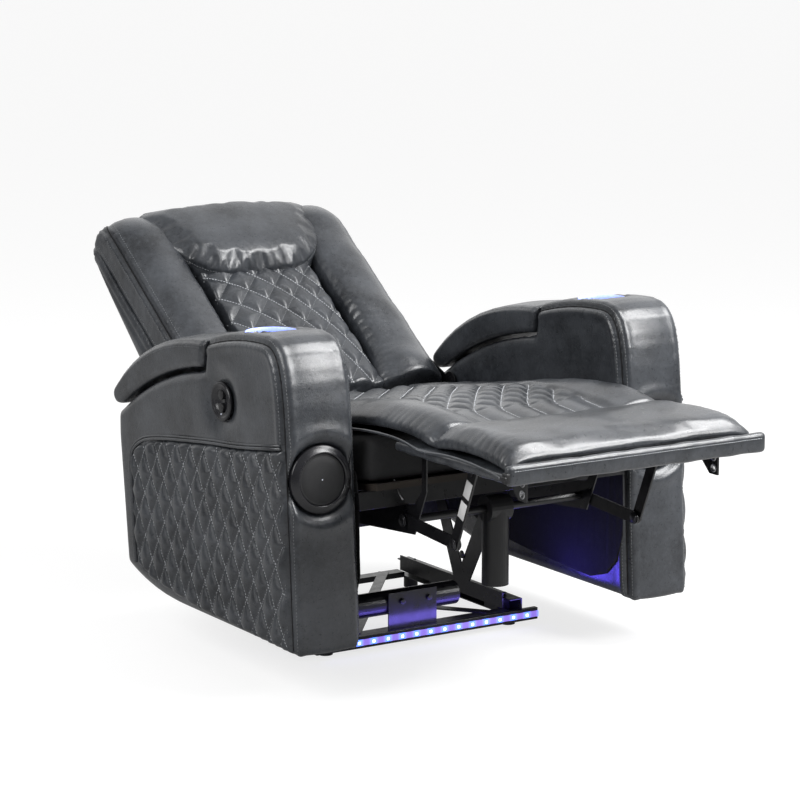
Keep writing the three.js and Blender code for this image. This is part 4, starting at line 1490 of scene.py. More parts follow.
@dataclass
class SeatAndChaise(Part):
    """The seat cushion and the footrest's pad, sewn into one chaise."""

    half: float = 0.290
    rear: float = 0.616
    front: float = -0.432
    cross_seam: float = -0.171
    quilt_half: float = 0.150
    knee: Pair = (-0.022, -0.068)
    middle_crest: Knots = (
        (-0.434, 0.526), (-0.415, 0.536), (-0.380, 0.5405), (-0.330, 0.5450), (-0.260, 0.5460),
        (-0.205, 0.5400), (-0.186, 0.5320), (-0.171, 0.5220), (-0.150, 0.5235), (-0.100, 0.5290),
        (-0.020, 0.5330), (0.060, 0.5330), (0.130, 0.5300), (0.260, 0.5080), (0.400, 0.4860), (0.620, 0.4500))
    side_crest: Knots = (
        (-0.434, 0.526), (-0.415, 0.536), (-0.380, 0.5405), (-0.330, 0.5450), (-0.260, 0.5460),
        (-0.205, 0.5410), (-0.186, 0.5380), (-0.171, 0.5350), (-0.150, 0.5410), (-0.100, 0.5490),
        (-0.020, 0.5490), (0.060, 0.5420), (0.124, 0.5330), (0.260, 0.5070), (0.400, 0.4830), (0.620, 0.4460))
    crest: float = field(init=False)
    seam_depth: float = 0.0075
    border_depth: float = 0.0030
    pinch_depth: float = 0.007
    quilting: Diamonds = field(default_factory=lambda: even_diamonds(
        0.0605, 0.083, 0.0075, straight_below=-0.056, falling_from=-0.050))

    def top(self, x: Points, y: Points) -> Points:
        """The height of the chaise's upper side at places seen from above."""
        middle, side = along_curve(y, self.middle_crest), along_curve(y, self.side_crest)
        share = smooth_step(np.abs(x), 0.120, 0.215)
        rolled = np.clip((np.abs(x) - 0.215) / (self.half - 0.215), 0, 1)
        return middle * (1 - share) + side * share - 0.021 * rolled ** 2

    def bend(self, piece: Thing) -> Thing:
        """Bake a piece's placement into its mesh, and return it."""
        start, end = (self.at(0, y, 0.5) for y in self.knee)
        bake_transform(piece)
        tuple(start)
        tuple(end)
        return piece

    def build(self) -> None:
        """Make the chaise, its piping and stitches, the seat's core and the footrest's board."""
        chaise = self.build_chaise()
        self.build_stitches(chaise)
        self.build_piping()
        self.build_core()
        self.build_board()

    def build_chaise(self) -> Thing:
        """The padded chaise, from the back of the seat to the footrest's front."""
        long = self.rear - self.front
        base = block((2 * self.half - 0.018, long - 0.016, 0.022),
                     self.at(0, (self.rear + self.front) / 2, 0), 0.010, 3)
        skin = divided(inflated(remeshed(base, 0.0075, 2), 0.013))
        self.crest = float(np.percentile([v.co.z for v in skin.verts], 97))

        def lay(points: Points, _: Points) -> Points:
            """Lay the flat pad on its crest line, and draw its edges in at the cross seam."""
            x, y = points[:, 0], points[:, 1] - self.setting.front
            offset = np.zeros_like(points)
            offset[:, 2] = self.top(x, y) - self.crest
            pinch = bell(y - self.cross_seam, 0.012) * smooth_step(np.abs(x), 0.20, self.half)
            offset[:, 0] = -np.sign(x) * self.pinch_depth * pinch
            return offset

        def sew(points: Points, normals: Points) -> Points:
            """Gather the sides, sink the seams and quilt the middle."""
            x, y = points[:, 0], points[:, 1] - self.setting.front
            up = smooth_step(normals[:, 2], 0.15, 0.75)
            hem = np.maximum(self.half - np.abs(x), 0)
            beside = np.clip(np.abs(y - self.cross_seam) / 0.02, 0.15, 1)
            strong = 0.30 + 0.70 * smooth_step(-y, -0.03, 0.02) + 0.45 * smooth_step(-y, 0.30, 0.38)
            gather = (gathers(y, hem - 0.006, depth=0.0040, pitch=0.0205, seed=1.3, reach=0.022)
                      * smooth_step(normals[:, 2], -0.5, 0.1) * beside * strong)
            from_front = np.maximum(y - self.front, 0)
            gather += (gathers(x, from_front, depth=0.0012, pitch=0.031, seed=0.8, reach=0.018)
                       * smooth_step(np.abs(x), 0.15, 0.28))
            cross = np.abs(y - self.cross_seam)
            groove = self.seam_depth * bell(cross, 0.0055)
            side_gather = gathers(x, cross, depth=0.0012, pitch=0.027, seed=0.4, reach=0.018)
            behind = smooth_step(y, self.cross_seam, self.cross_seam + 0.010)
            inside = smooth_step(self.quilt_half - np.abs(x), -0.004, 0.008) * behind
            quilt = (self.quilting.height(x, y) - self.quilting.swell) * inside
            _, rising = self.quilting.turns(x, y)
            ends = (0.0042 * bell(y - self.cross_seam - 0.016, 0.008) * inside
                    * np.abs(np.sin(np.pi * rising)))
            border = self.border_depth * bell(np.abs(x) - self.quilt_half, 0.0060) * behind
            slack = 0.0016 * ripple(x + 0.4 * y, 0.19, 0.9) + 0.0012 * ripple(y - 0.3 * x, 0.13, 2.9)
            rise = (quilt + ends - border - groove + side_gather + slack * (1 - inside)) * up + gather
            return normals * rise[:, None]

        chaise = self.add("chaise_pad", pushed(pushed(skin, lay), sew), "leather", None,
                          ["seat_cushion", "footrest_pad"])
        return self.bend(chaise)

    def build_stitches(self, chaise: Thing) -> None:
        """The stitches of the quilting and of the cross seam."""
        surface = surface_of(chaise)
        needle = Needle(pitch=0.0062, length=0.0046, thick=0.0013, reach=0.08)
        up = Vector((0, 0, 1))

        def inside(x: float, y: float) -> bool:
            """Whether a place is in the quilted middle."""
            return abs(x) < self.quilt_half and y > self.cross_seam + 0.008

        rows: dict[str, list[Row]] = {"seat": [], "knee": [], "rest": []}
        for run in self.quilting.lines((-self.quilt_half, self.cross_seam), (self.quilt_half, 0.600), inside):
            for part, points in self.parted(run).items():
                if len(points) > 1:
                    rows[part].append(Row([self.at(x, y, 0.53) for x, y in points], up))
        for name, held in rows.items():
            thing = self.add(f"chaise_stitches_{name}", needle.sew(held, surface), "thread",
                             {"seat": "carriage", "knee": None, "rest": "footrest"}[name])
            if name == "knee":
                self.bend(thing)
        cross = [self.at(x, self.cross_seam - 0.010, 0.53) for x in np.linspace(-0.27, 0.27, 120)]
        self.add("cross_seam_stitches", needle.sew([Row(cross, up)], surface), "thread_dark", "footrest")
        # A dark cord in the cross seam: painted shade.
        crease = [self.at(x, self.cross_seam, 0.53) for x in np.linspace(-0.278, 0.278, 120)]
        self.add("cross_seam_crease", laid_cords([Row(crease, up)], surface, 0.0013), "seam", "footrest")

    def parted(self, run: list[Pair]) -> dict[str, list[Pair]]:
        """Split a run of points at the knee, by the body that each part rides on."""
        parts: dict[str, list[Pair]] = {"seat": [], "knee": [], "rest": []}
        for x, y in run:
            parts["seat" if y > self.knee[0] else "rest" if y < self.knee[1] else "knee"].append((x, y))
        return parts

    def build_piping(self) -> None:
        """The thin welt round the chaise's sides and front."""
        edge = [(-self.half, y) for y in np.linspace(0.58, self.front + 0.022, 110)]
        edge += [(-self.half + 0.004, self.front + 0.006), (-self.half + 0.018, self.front + 0.0005)]
        edge += [(x, self.front) for x in np.linspace(-self.half + 0.030, 0, 40)]
        edge += [(-x, y) for x, y in reversed(edge[:-1])]
        points = []
        for x, y in edge:
            pinch = bell(y - self.cross_seam, 0.012)
            height = float(self.top(np.array(x), np.array(max(y, self.front + 0.002)))) - self.crest - 0.0015
            points.append(self.at(x - math.copysign(self.pinch_depth * pinch, x) * (abs(x) > 0.2), y, height))
        self.bend(self.add("chaise_welt", cord_along(points, 0.0026), "leather", None))

    def build_core(self) -> None:
        """The padded core under the seat's part of the chaise, in black cloth as painted shade under the
        seat.
        """
        base = block((0.566, 0.612, 0.086), (0, 0.330, 0.046), 0.016, 4, self.setting.seat)
        core = self.add("seat_core", remeshed(base, 0.009, 3), "shade_lining", "carriage")

    def build_board(self) -> None:
        """The footrest's board, wrapped in leather, with its front band, stitches and corner clip."""
        low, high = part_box("footrest_board")
        size = high - low
        centre = foot_of("footrest_board") + Vector((0, 0, 0.0090))
        board = cut_long_edges(block((size.x + 0.004, size.y - 0.004, 0.0175), centre, 0.0065, 4), 60)

        def soften(points: Points, normals: Points) -> Points:
            """Soften the wrapped edges with slight waves."""
            wave = 0.0010 * ripple(points[:, 0], 0.09, 0.3) + 0.0012 * ripple(points[:, 1], 0.08, 1.1)
            return normals * wave[:, None]

        self.add("footrest_wrap", pushed(board, soften), "leather", "footrest", ["footrest_board"])
        foot = self.front - 0.001
        centre = self.at(0, foot + 0.0055, 0.4920)
        band = cut_long_edges(block((0.568, 0.017, 0.0350), centre, 0.0072, 4), 90)
        piece = self.add("footrest_band", pushed(band, soften), "leather", "footrest")
        edge = [self.at(x, foot - 0.01, 0.5005) for x in np.linspace(-0.272, 0.276, 120)]
        row = Row(edge, Vector((0, -1, 0)))
        needle = Needle(pitch=0.0052, length=0.0046, thick=0.0013, reach=0.03)
        self.add("footrest_band_stitches", needle.sew([row], surface_of(piece)), "thread", "footrest")
        clip = merged([block((0.010, 0.013, 0.019), self.at(-0.284, foot + 0.003, 0.4885), 0.002, 2),
                       block((0.005, 0.016, 0.007), self.at(-0.290, foot + 0.003, 0.4890), 0.0015, 2)])
        self.add("footrest_corner_clip", clip, "plastic", "footrest")


@dataclass
class Back(Part):
    """The reclined back: quilted middle, two wings, headrest, side panels and rear cover."""

    quilt_half: float = 0.146
    foot: float = -0.058
    quilt_top: float = 0.425
    headrest_edge: Knots = (
        (0.000, 0.343), (0.060, 0.344), (0.110, 0.352), (0.152, 0.378), (0.186, 0.418), (0.203, 0.470),
        (0.214, 0.525), (0.222, 0.560), (0.206, 0.582), (0.160, 0.594), (0.080, 0.600), (0.000, 0.602))
    headrest_rise: Knots = (
        (0.320, 0.016), (0.345, 0.036), (0.368, 0.050), (0.400, 0.059), (0.440, 0.061), (0.490, 0.057),
        (0.540, 0.050), (0.580, 0.035), (0.612, 0.014))
    wing_section: Knots = (
        (0.146, -0.056), (0.146, 0.004), (0.153, 0.016), (0.172, 0.025), (0.196, 0.030), (0.220, 0.031),
        (0.244, 0.026), (0.263, 0.015), (0.277, 0.000), (0.286, -0.018), (0.290, -0.038), (0.292, -0.072),
        (0.268, -0.072), (0.266, -0.056))
    quilting: Diamonds = field(default_factory=lambda: Diamonds(
        (18.54, 5.70, 22.2, -9.83, 12.6, -1.193), (16.17, -14.42, 0, 0, 0, 5.33), 0.0070))

    def local(self, points: Points) -> Points:
        """Points of the chair in the back's own frame."""
        inverse = np.array(self.setting.back.inverted())
        return points @ inverse[:3, :3].T + inverse[:3, 3]

    def spot(self, x: float, y: float, z: float) -> Vector:
        """A place of the back's own frame as the chair's."""
        return self.setting.back @ Vector((x, y, z))

    def way(self, x: float, y: float, z: float) -> Vector:
        """A direction of the back's own frame as the chair's."""
        return (self.setting.back.to_3x3() @ Vector((x, y, z))).normalized()

    @property
    def out(self) -> Points:
        """The way out of the back's front."""
        return np.array(self.setting.back)[:3, 2]

    def turned(self, offsets: Points) -> Points:
        """Offsets of the back's own frame as the chair's."""
        return offsets @ np.array(self.setting.back)[:3, :3].T

    def build(self) -> None:
        """Make every piece of the back."""
        self.build_middle()
        for side in Side:
            self.build_wing(side)
        self.build_headrest()
        self.build_cover()

    def build_middle(self) -> None:
        """The quilted middle panel."""
        base = block((2 * self.quilt_half - 0.004, self.quilt_top + 0.004, 0.066),
                     (0, self.quilt_top / 2 - 0.002, self.foot + 0.033), 0.018, 3, self.setting.back)
        skin = divided(inflated(remeshed(base, 0.006, 3), 0.008))

        def shape(points: Points, normals: Points) -> Points:
            """Crown and quilt the front, and gather its borders."""
            own = self.local(points)
            facing = smooth_step(normals @ self.out, 0.2, 0.8)
            edge = self.quilt_half - np.abs(own[:, 0])
            crown = 0.0265 - 0.012 * np.clip(np.abs(own[:, 0]) / self.quilt_half, 0, 1) ** 2
            valley = 0.014 * fade(edge, 0.009)
            quilt = self.quilting.height(own[:, 0], own[:, 1]) * smooth_step(edge, -0.002, 0.010)
            gather = gathers(own[:, 1], edge, depth=0.0016, pitch=0.024, seed=0.7, reach=0.014)
            offset = np.zeros_like(points)
            wanted = crown - valley + quilt - self.quilting.swell + gather
            offset[:, 2] = (wanted - own[:, 2]) * facing
            return self.turned(offset)

        middle = self.add("back_quilt", pushed(skin, shape), "leather", "back", ["back_cushion"])

        def inside(x: float, y: float) -> bool:
            """Whether a place is on the quilted middle."""
            return abs(x) < self.quilt_half - 0.004 and 0.006 < y < 0.385

        surface = surface_of(middle)
        # The rising stitches take the darker thread as painted shade: in the same quilting they catch less
        # light than the falling ones.
        for family, name, finish, thick in ((0, "back_stitches_falling", "thread", 0.0017),
                                            (1, "back_stitches_rising", "thread_dark", 0.0013)):
            rows = [Row([self.spot(x, y, 0.01) for x, y in run], self.way(0, 0, 1))
                    for run in self.quilting.lines((-self.quilt_half, 0.0), (self.quilt_half, 0.39), inside,
                                                   (family,))]
            needle = Needle(pitch=0.0060, length=0.0048, thick=thick, reach=0.05)
            self.add(name, needle.sew(rows, surface), finish, "back")

    def build_wing(self, side: Side) -> None:
        """One smooth rounded wing beside the quilting, gathered along its inner edge."""
        sign = side.value
        upright = Matrix.Rotation(math.pi / 2, 4, "X")
        section = [(sign * x, z) for x, z in cut_round(self.wing_section, 1)]
        base = prism(section, 0.0, 0.572, self.setting.back @ Matrix.Translation((0, 0.572, 0)) @ upright)
        skin = divided(inflated(remeshed(base, 0.0065, 4), 0.006))

        def shape(points: Points, normals: Points) -> Points:
            """Round the top, fill the foot, gather the inner edge and sink the outer seams."""
            own = self.local(points)
            x, y, z = np.abs(own[:, 0]), own[:, 1], own[:, 2]
            facing = smooth_step(normals @ self.out, 0.0, 0.8)
            offset = np.zeros_like(points)
            over = np.clip((y - 0.500) / 0.075, 0, 1)
            offset[:, 2] = -0.030 * over ** 2 * smooth_step(z, -0.05, 0.02)
            at_foot = bell(np.maximum(y - 0.035, 0), 0.045)
            offset[:, 2] += 0.010 * at_foot * facing * bell(x - 0.205, 0.050)
            inner = fade(x - 0.146, 0.020)
            offset[:, 0] = -sign * 0.022 * bell(np.maximum(y - 0.02, 0), 0.060) * inner
            seam = np.hypot(x - 0.283, z - 0.002)
            groove = 0.0050 * bell(seam, 0.0050) - 0.0022 * bell(seam - 0.012, 0.006)
            strong = 0.25 + 0.75 * (1 - smooth_step(y, 0.20, 0.30))
            gather = strong * facing * gathers(y, x - 0.150, depth=0.0042, pitch=0.0195, seed=1.9 + sign,
                                               reach=0.016)
            light = gathers(y, np.abs(seam - 0.008), depth=0.0010, pitch=0.026, seed=3.1, reach=0.012)
            slack = 0.0016 * ripple(y + 0.5 * x, 0.16, 0.5 + sign) * facing
            return self.turned(offset) + normals * (gather - groove + light + slack)[:, None]

        wing = self.add(f"wing_pad_{side.word}", pushed(skin, shape), "leather", "back",
                        [f"back_wing_{side.word}"])
        rows = []
        for x, z, way in ((0.272, 0.02, (0.55 * sign, 0, 1)), (0.300, -0.008, (sign, 0, 0.25)),
                          (0.300, -0.049, (sign, 0, 0))):
            points = [self.spot(sign * x, y, z) for y in np.linspace(0.02, 0.560, 90)]
            rows.append(Row(points, self.way(*way)))
        needle = Needle(pitch=0.0064, length=0.0046, thick=0.0011, reach=0.04)
        surface = surface_of(wing)
        self.add(f"wing_stitches_{side.word}", needle.sew(rows, surface), "thread_dark", "back")
        # A dark cord in the outer seam: painted shade.
        crease = [self.spot(sign * 0.286, y, 0.005) for y in np.linspace(0.006, 0.566, 90)]
        row = Row(crease, self.way(sign, 0, 0.85))
        self.add(f"wing_crease_{side.word}", laid_cords([row], surface, 0.0014), "seam", "back")

    def build_headrest(self) -> None:
        """The headrest: a full pillow with a puckered, double-stitched lower lip."""
        right = list(self.headrest_edge)
        whole = cut_round([*right, *[(-x, y) for x, y in reversed(right[1:-1])], right[0]], 2)[:-1]
        middle = np.array([0, 0.475])
        inset = middle + (whole - middle) * 0.955
        low = -0.060
        base = prism([tuple(p) for p in inset], low + 0.008, 0.030, self.setting.back)
        skin = divided(inflated(remeshed(base, 0.0065, 5), 0.013))
        crest = float(np.percentile(self.local(np.array([v.co for v in skin.verts]))[:, 2], 96))
        rim = np.concatenate([whole, whole[:1]])

        def front(x: Points, y: Points) -> Points:
            """The height of the pillow's front, fullest just above the lip."""
            rise = along_curve(y, self.headrest_rise)
            return rise - 0.016 * np.clip(np.abs(x) / 0.21, 0, 1) ** 2.4

        def shape(points: Points, normals: Points) -> Points:
            """Round the front, sink the seam inside the lower edge and gather the lip above it."""
            own = self.local(points)
            facing = smooth_step(normals @ self.out, 0.15, 0.8)
            offset = np.zeros_like(points)
            scale = (front(own[:, 0], own[:, 1]) - low) / (crest - low)
            offset[:, 2] = (np.maximum(own[:, 2], low) - low) * (scale - 1)
            far, _ = to_polyline(own[:, :2], rim)
            lower = 1 - smooth_step(own[:, 1], 0.52, 0.57)
            inner = smooth_step(normals @ self.out, -0.3, 0.3) * lower
            seam = 0.0038 * bell(far - 0.011, 0.0040) * inner
            roll = 0.0016 * bell(far - 0.003, 0.005) * inner
            centre = 0.25 + 0.75 * np.exp(-((own[:, 0] - 0.01) / 0.085) ** 4)
            lip = smooth_step(far, 0.010, 0.018) * centre * inner
            along = own[:, 0] + 0.25 * (own[:, 1] - 0.36)
            gather = lip * gathers(along, far - 0.018, depth=0.0038, pitch=0.0235, seed=0.9, reach=0.020)
            slack = 0.0014 * ripple(own[:, 0], 0.17, 0.4) * facing
            return self.turned(offset) + normals * (gather - seam + roll + slack)[:, None]

        headrest = self.add("headrest_pad", pushed(skin, shape), "leather", "back", ["headrest"])
        rows = []
        for gap in (0.0065, 0.0160):
            reach = np.linalg.norm(whole - middle, axis=1, keepdims=True)
            line = middle + (whole - middle) * (1 - gap / reach)
            points = [self.spot(x, y, 0.02) for x, y in line if y < 0.54]
            order = sorted(range(len(points)), key=lambda k: points[k].x)
            rows.append(Row([points[k] for k in order], self.way(0, -0.25, 1)))
        needle = Needle(pitch=0.0060, length=0.0045, thick=0.0012, reach=0.06)
        self.add("headrest_stitches", needle.sew(rows, surface_of(headrest)), "thread_dark", "back")

    def build_cover(self) -> None:
        """The rear cover and side panels, one upholstered shell behind the pads."""
        skin = divided(remeshed(self.cad("back_cover"), 0.0085, 4))

        def shape(points: Points, normals: Points) -> Points:
            """Sink the side seam, fold the corner caps and slacken the rear."""
            own = self.local(points)
            x, y, z = np.abs(own[:, 0]), own[:, 1], own[:, 2]
            beside = smooth_step(np.abs(normals[:, 0]), 0.4, 0.9)
            seam = 0.0030 * bell(z + 0.082, 0.0045) * beside * (1 - smooth_step(y, 0.50, 0.56))
            cap = smooth_step(y, 0.515, 0.560) * smooth_step(x, 0.20, 0.28)
            folds = 0.0040 * cap * pleats(z + 0.5 * y, 0.017, 1.1)
            slack = 0.0022 * ripple(y + 0.3 * own[:, 0], 0.22, 1.3) * (1 - beside)
            return normals * (folds - seam + slack)[:, None]

        cover = self.add("rear_cover", pushed(skin, shape), "leather", "back", ["back_cover"])
        # The back's board takes the near-black board finish: painted shade in the gaps.
        self.setting.shop.carry_over(self.setting.frame, "back_board", "board")


def on_both_sides(names: Iterable[str]) -> list[str]:
    """Names in order, where one with a star stands for the right side's and the left side's."""
    return [whole for name in names
            for whole in ([name.replace("*", side.word) for side in Side] if "*" in name else [name])]


@dataclass
class Mechanism(Part):
    """The steel under the seat: links, plates, rails and their pins, bolts, eyelets and labels."""

    edge: float = 0.0009
    rigid: tuple[str, ...] = (
        "base_rail_*", "front_cross_rail", "rear_cross_rail", "lamp_bar", "side_plate_*", "seat_front_rail",
        "seat_rear_rail", "drive_link_*", "torque_tube", "support_link_*", "footrest_bracket_*",
        "back_bracket_*", "back_pivot_*", "lid_knuckle_*")
    moulded: tuple[str, ...] = ("gear_motor", "glide_front_*", "glide_rear_*", "foot_front_*", "foot_rear_*")
    pins: tuple[tuple[str, float, float, float, float], ...] = (
        ("carriage", 0.2165, -0.045, 0.462, 0.0075), ("footrest", 0.2035, -0.215, 0.450, 0.0070),
        ("drive_links", 0.2110, -0.155, 0.308, 0.0075), ("drive_links", 0.2110, 0.015, 0.320, 0.0080),
        ("carriage", 0.1945, -0.045, 0.462, 0.0070), ("drive_links", 0.1985, -0.155, 0.308, 0.0070),
        ("carriage", 0.1945, 0.120, 0.420, 0.0060), ("carriage", 0.1945, 0.300, 0.390, 0.0060),
        ("carriage", 0.1945, 0.420, 0.120, 0.0060), ("footrest", 0.2160, -0.300, 0.463, 0.0055),
    )

    def build(self) -> None:
        """Break the edges of each rigid node, and add what is fastened to them."""
        shop, frame = self.setting.shop, self.setting.frame
        bodies = frame["record"]["behaviour"]["bodies"]
        home = {node: body for body, nodes in bodies.items() for node in nodes}
        for nodes, finish in ((self.rigid, "steel"), (self.moulded, "plastic")):
            for node in on_both_sides(nodes):
                shape = edged_copy(frame, node, self.edge)
                self.add(f"{node}_finished", shape, finish, home[node], [node], smooth=False)
        # The seat's deck takes the near-black board finish: painted shade under the seat.
        shop.carry_over(frame, "seat_deck", "board")
        shop.carry_over(frame, "rear_apron", "leather")
        self.build_pins()
        self.build_eyelets()
        self.build_labels()
        self.build_hook()
        self.build_bolts()

    def along_x(self, x: float, y: float, z: float) -> Matrix:
        """A place given from the arms' front, with its Z along the chair's X."""
        return Matrix.Translation(self.at(x, y, z)) @ Matrix.Rotation(math.pi / 2, 4, "Y")

    def build_pins(self) -> None:
        """The riveted pin heads and their washers, on both sides."""
        heads: dict[str, list[Shape]] = {}
        for body, x, y, z, radius in self.pins:
            for sign in (-1, 1):
                place = self.along_x(sign * x, y, z)
                heads.setdefault(body, []).append(disc(radius, 0.0030, 0.0010, place, 20))
                heads[body].append(disc(radius * 1.45, 0.0014, 0.0004, place, 24))
        for body, shapes in heads.items():
            self.add(f"pin_heads_{body}", merged(shapes), "rivet", body)

    def build_eyelets(self) -> None:
        """The bright eyelets at the ends of the footrest's brackets."""
        rings = []
        profile = [(0.0050, -0.0028), (0.0078, -0.0028), (0.0085, -0.0018), (0.0085, 0.0018),
                   (0.0078, 0.0028), (0.0050, 0.0028)]
        for sign in (-1, 1):
            for z in (0.4427, 0.4637):
                rings.append(lathe(profile, self.along_x(sign * 0.212, -0.378, z), 20))
            rings.append(disc(0.0042, 0.020, 0.0008, self.along_x(sign * 0.219, -0.352, 0.470), 16))
        self.add("bracket_eyelets", merged(rings), "zinc", "footrest")

    def build_labels(self) -> None:
        """Two bare white labels on the near support link."""
        start, end = Vector((0, -0.212, 0.443)), Vector((0, -0.158, 0.315))
        slope = math.atan2(end.z - start.z, end.y - start.y)
        labels = []
        for share in (0.20, 0.52):
            place = start.lerp(end, share)
            turn = Matrix.Translation(self.at(-0.2094, place.y, place.z)) @ Matrix.Rotation(slope, 4, "X")
            labels.append(block((0.0004, 0.034, 0.020), (0, 0, 0), 0.0001, 1, turn))
        self.add("link_labels", merged(labels), "label", "support_links")

    def build_hook(self) -> None:
        """A bent wire clip on the near side plate."""
        wire = [(-0.2175, 0.062, 0.398), (-0.2185, 0.055, 0.422), (-0.2205, 0.046, 0.432),
                (-0.2225, 0.034, 0.428), (-0.2230, 0.030, 0.414), (-0.2210, 0.026, 0.392),
                (-0.2180, 0.014, 0.372), (-0.2150, 0.006, 0.362)]
        path = cut_round(wire, 3)
        self.add("wire_clip", cord_along([self.at(*p) for p in path], 0.0017), "zinc", "carriage")

    def build_bolts(self) -> None:
        """The bolts of the lamp bar's bracket and of the base rails."""
        heads = []
        for x, z in ((-0.058, 0.026), (0.005, 0.026), (-0.058, 0.092), (0.005, 0.092)):
            place = Matrix.Translation(self.at(x, 0.252, z)) @ Matrix.Rotation(math.pi / 2, 4, "X")
            heads.append(disc(0.0060, 0.0060, 0.0012, place, 6))
        for sign in (-1, 1):
            for y in (0.300, 0.640):
                place = Matrix.Translation(self.at(sign * 0.217, y, 0.0605))
                heads.append(disc(0.0065, 0.0050, 0.0012, place, 6))
        self.add("base_bolts", merged(heads), "rivet", "base")


@dataclass
class LampStrip(Part):
    """The lit strip on the base: a violet tape with small bright lamps."""

    lamp: float = 0.0052

    def build(self) -> None:
        """Make the strip and its lamps."""
        low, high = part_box("lamp_strip")
        self.add("strip_tape", block(high - low, (low + high) / 2, 0.0008, 2), "tape", "base", ["lamp_strip"])
        count = int((high.x - low.x) / LAMP_PITCH) // 2
        middle = (low.z + high.z) / 2
        lamps = []
        for k in range(-count, count + 1):
            place = (k * LAMP_PITCH, low.y - 0.0004, middle)
            lamps.append(block((self.lamp, 0.0016, self.lamp), place, 0.0006, 2))
        self.add("strip_lamps", merged(lamps), "lamp", "base")


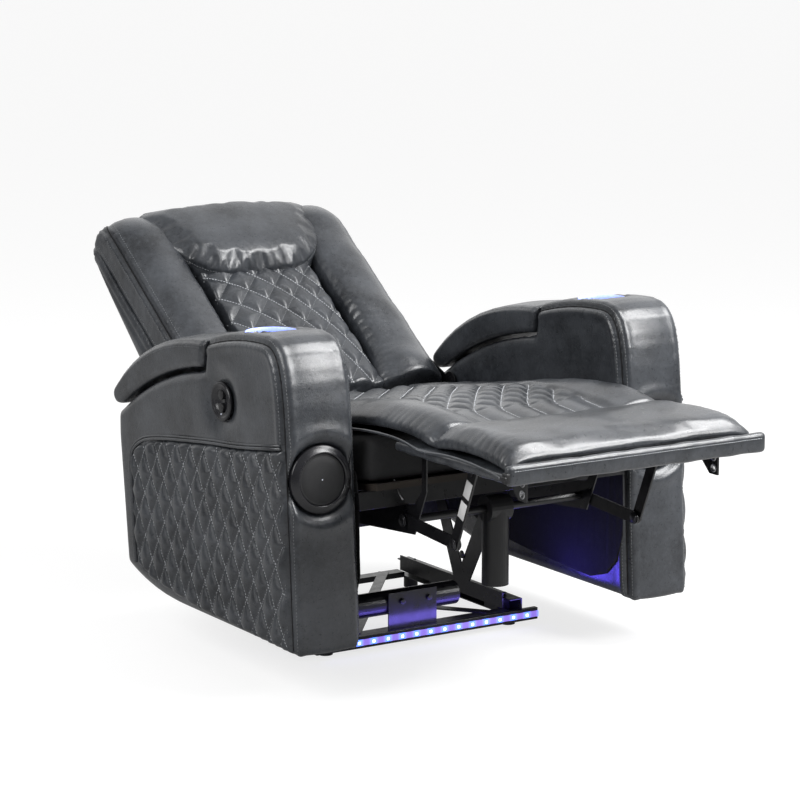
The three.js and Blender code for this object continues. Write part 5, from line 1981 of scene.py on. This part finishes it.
@dataclass
class Studio(Part):
    """The plain floor, soft lights, white surroundings and the photograph's camera."""

    camera_place: tuple[float, float, float] = (-3.0633, -4.4464, 1.5378)
    azimuth: float = math.radians(-32.549)
    pitch: float = math.radians(10.580)
    focal_pixels: float = 2912.4
    picture_pixels: float = 800
    sensor: float = 36.0

    def build(self) -> None:
        """Make the camera, the world, the floor and the lamps."""
        self.build_camera()
        self.build_world()
        self.build_floor()
        self.lamp("key", (1.75, -0.85, 3.15), (0, 0.0, 0.5), (1.1, 1.9), 125)
        self.lamp("front", (1.30, -2.10, 2.00), (-0.2, 0.05, 0.50), (0.9, 1.2), 80)
        self.lamp("fill", (-3.2, -0.3, 2.5), (0, 0.2, 0.4), (2.0, 2.0), 88)
        self.lamp("strip_glow", (0, 0.236, 0.050), (0, 0.300, 0.115), (0.50, 0.02), 0.35, (0.22, 0.16, 1.0))
        self.lamp("arm_glow", (0.225, 0.2, 0.1), (0.32, 0.12, 0.3), (0.06, 0.06), 0.16, (0.12, 0.08, 1.0))
        bpy.context.scene.view_settings.view_transform = "Standard"

    def build_camera(self) -> None:
        """The camera at the photograph's angle."""
        data = bpy.data.cameras.new("camera")
        data.sensor_width = self.sensor
        data.lens = self.focal_pixels / self.picture_pixels * self.sensor
        camera = bpy.data.objects.new("camera", data)
        bpy.context.scene.collection.objects.link(camera)
        back = Vector((math.sin(self.azimuth) * math.cos(self.pitch),
                       -math.cos(self.azimuth) * math.cos(self.pitch), math.sin(self.pitch)))
        camera.rotation_mode = "QUATERNION"
        camera.location = self.at(*self.camera_place)
        camera.rotation_quaternion = (-back).to_track_quat("-Z", "Y")
        bpy.context.scene.camera = camera

    def build_world(self) -> None:
        """White for the camera, and otherwise a studio that is light above and behind the chair."""
        world = bpy.data.worlds.new("studio")
        bpy.context.scene.world = world
        world.use_nodes = True
        tree = world.node_tree

        def node(kind: str, operation: str = "", *values: object) -> bpy.types.Node:
            """Add a node with an operation and values or sockets for its first inputs."""
            made = tree.nodes.new(kind)
            if operation:
                made.operation = operation
            for socket, value in zip(made.inputs, values):
                if isinstance(value, Socket):
                    tree.links.new(value, socket)
                elif value is not None:
                    socket.default_value = value
            return made

        way = tree.nodes.new("ShaderNodeTexCoord").outputs["Generated"]
        above = node("ShaderNodeVectorMath", "DOT_PRODUCT", way, (0, 0, 1)).outputs["Value"]
        behind = node("ShaderNodeVectorMath", "DOT_PRODUCT", way, (0.53, 0.83, 0.10)).outputs["Value"]
        high = node("ShaderNodeMapRange", "", above, 0.0, 1.0, 0.0, 0.40).outputs[0]
        far = node("ShaderNodeMapRange", "", behind, 0.15, 0.95, 0.0, 0.80).outputs[0]
        summed = node("ShaderNodeMath", "ADD", high, far).outputs[0]
        dim = node("ShaderNodeMath", "ADD", summed, 0.09).outputs[0]
        path = tree.nodes.new("ShaderNodeLightPath").outputs
        rays = path["Is Camera Ray"], path["Is Transmission Ray"]
        seen = node("ShaderNodeMath", "MAXIMUM", *rays).outputs[0]
        strength = node("ShaderNodeMath", "MAXIMUM", seen, dim).outputs[0]
        background = tree.nodes["Background"]
        background.inputs["Color"].default_value = (1, 1, 1, 1)
        tree.links.new(strength, background.inputs["Strength"])

    def build_floor(self) -> None:
        """A pale floor that keeps the chair's shadow."""
        shape = bmesh.new()
        bmesh.ops.create_grid(shape, x_segments=1, y_segments=1, size=30)
        floor = object_of("floor", shape)
        floor.location.z = -0.0005
        canvas = Canvas("floor_pale")
        canvas.surface(Base_Color=(0.30, 0.30, 0.30, 1), Roughness=0.9, Specular_IOR_Level=0.1)
        path = canvas.add("ShaderNodeLightPath").outputs
        glossy = canvas.maths("MULTIPLY", path["Is Glossy Ray"], 0.15)
        seen = canvas.maths("MULTIPLY_ADD", path["Is Camera Ray"], 0.76, glossy)
        canvas.surface(Emission_Color=(1, 1, 1, 1), Emission_Strength=seen)
        floor.data.materials.append(canvas.material)

    def lamp(self, name: str, place: Sequence[float], aim: Sequence[float], size: Pair,
             power: float, tint: Colour = (1.0, 1.0, 1.0)) -> None:
        """Add a soft rectangular lamp.

        Args:
            name: Its name.
            place: Where it hangs.
            aim: The point it faces.
            size: Its width and height.
            power: Its power in watts.
            tint: The colour of its light.
        """
        data = bpy.data.lights.new(name, "AREA")
        data.shape = "RECTANGLE"
        data.size, data.size_y = size
        data.energy = power
        data.color = tint
        thing = bpy.data.objects.new(name, data)
        bpy.context.scene.collection.objects.link(thing)
        thing.location = self.at(*place)
        way = self.at(*aim) - thing.location
        thing.rotation_mode = "QUATERNION"
        thing.rotation_quaternion = way.to_track_quat("-Z", "Y")


def main() -> None:
    """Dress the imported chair."""
    logging.basicConfig(level=logging.INFO, format="%(message)s")
    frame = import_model()
    pivots = {joint["name"]: joint.get("pos_m") for joint in frame["joints"]}
    low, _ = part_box("arm_right")
    setting = Setting(frame, Workshop(Wardrobe()), low.y, Vector(pivots["back_recline"]))
    Studio(setting).build()
    for side in Side:
        Arm(setting, side).build()
    ControlPanel(setting).build()
    SeatAndChaise(setting).build()
    Back(setting).build()
    Mechanism(setting).build()
    LampStrip(setting).build()


if __name__ == "__main__":
    main()
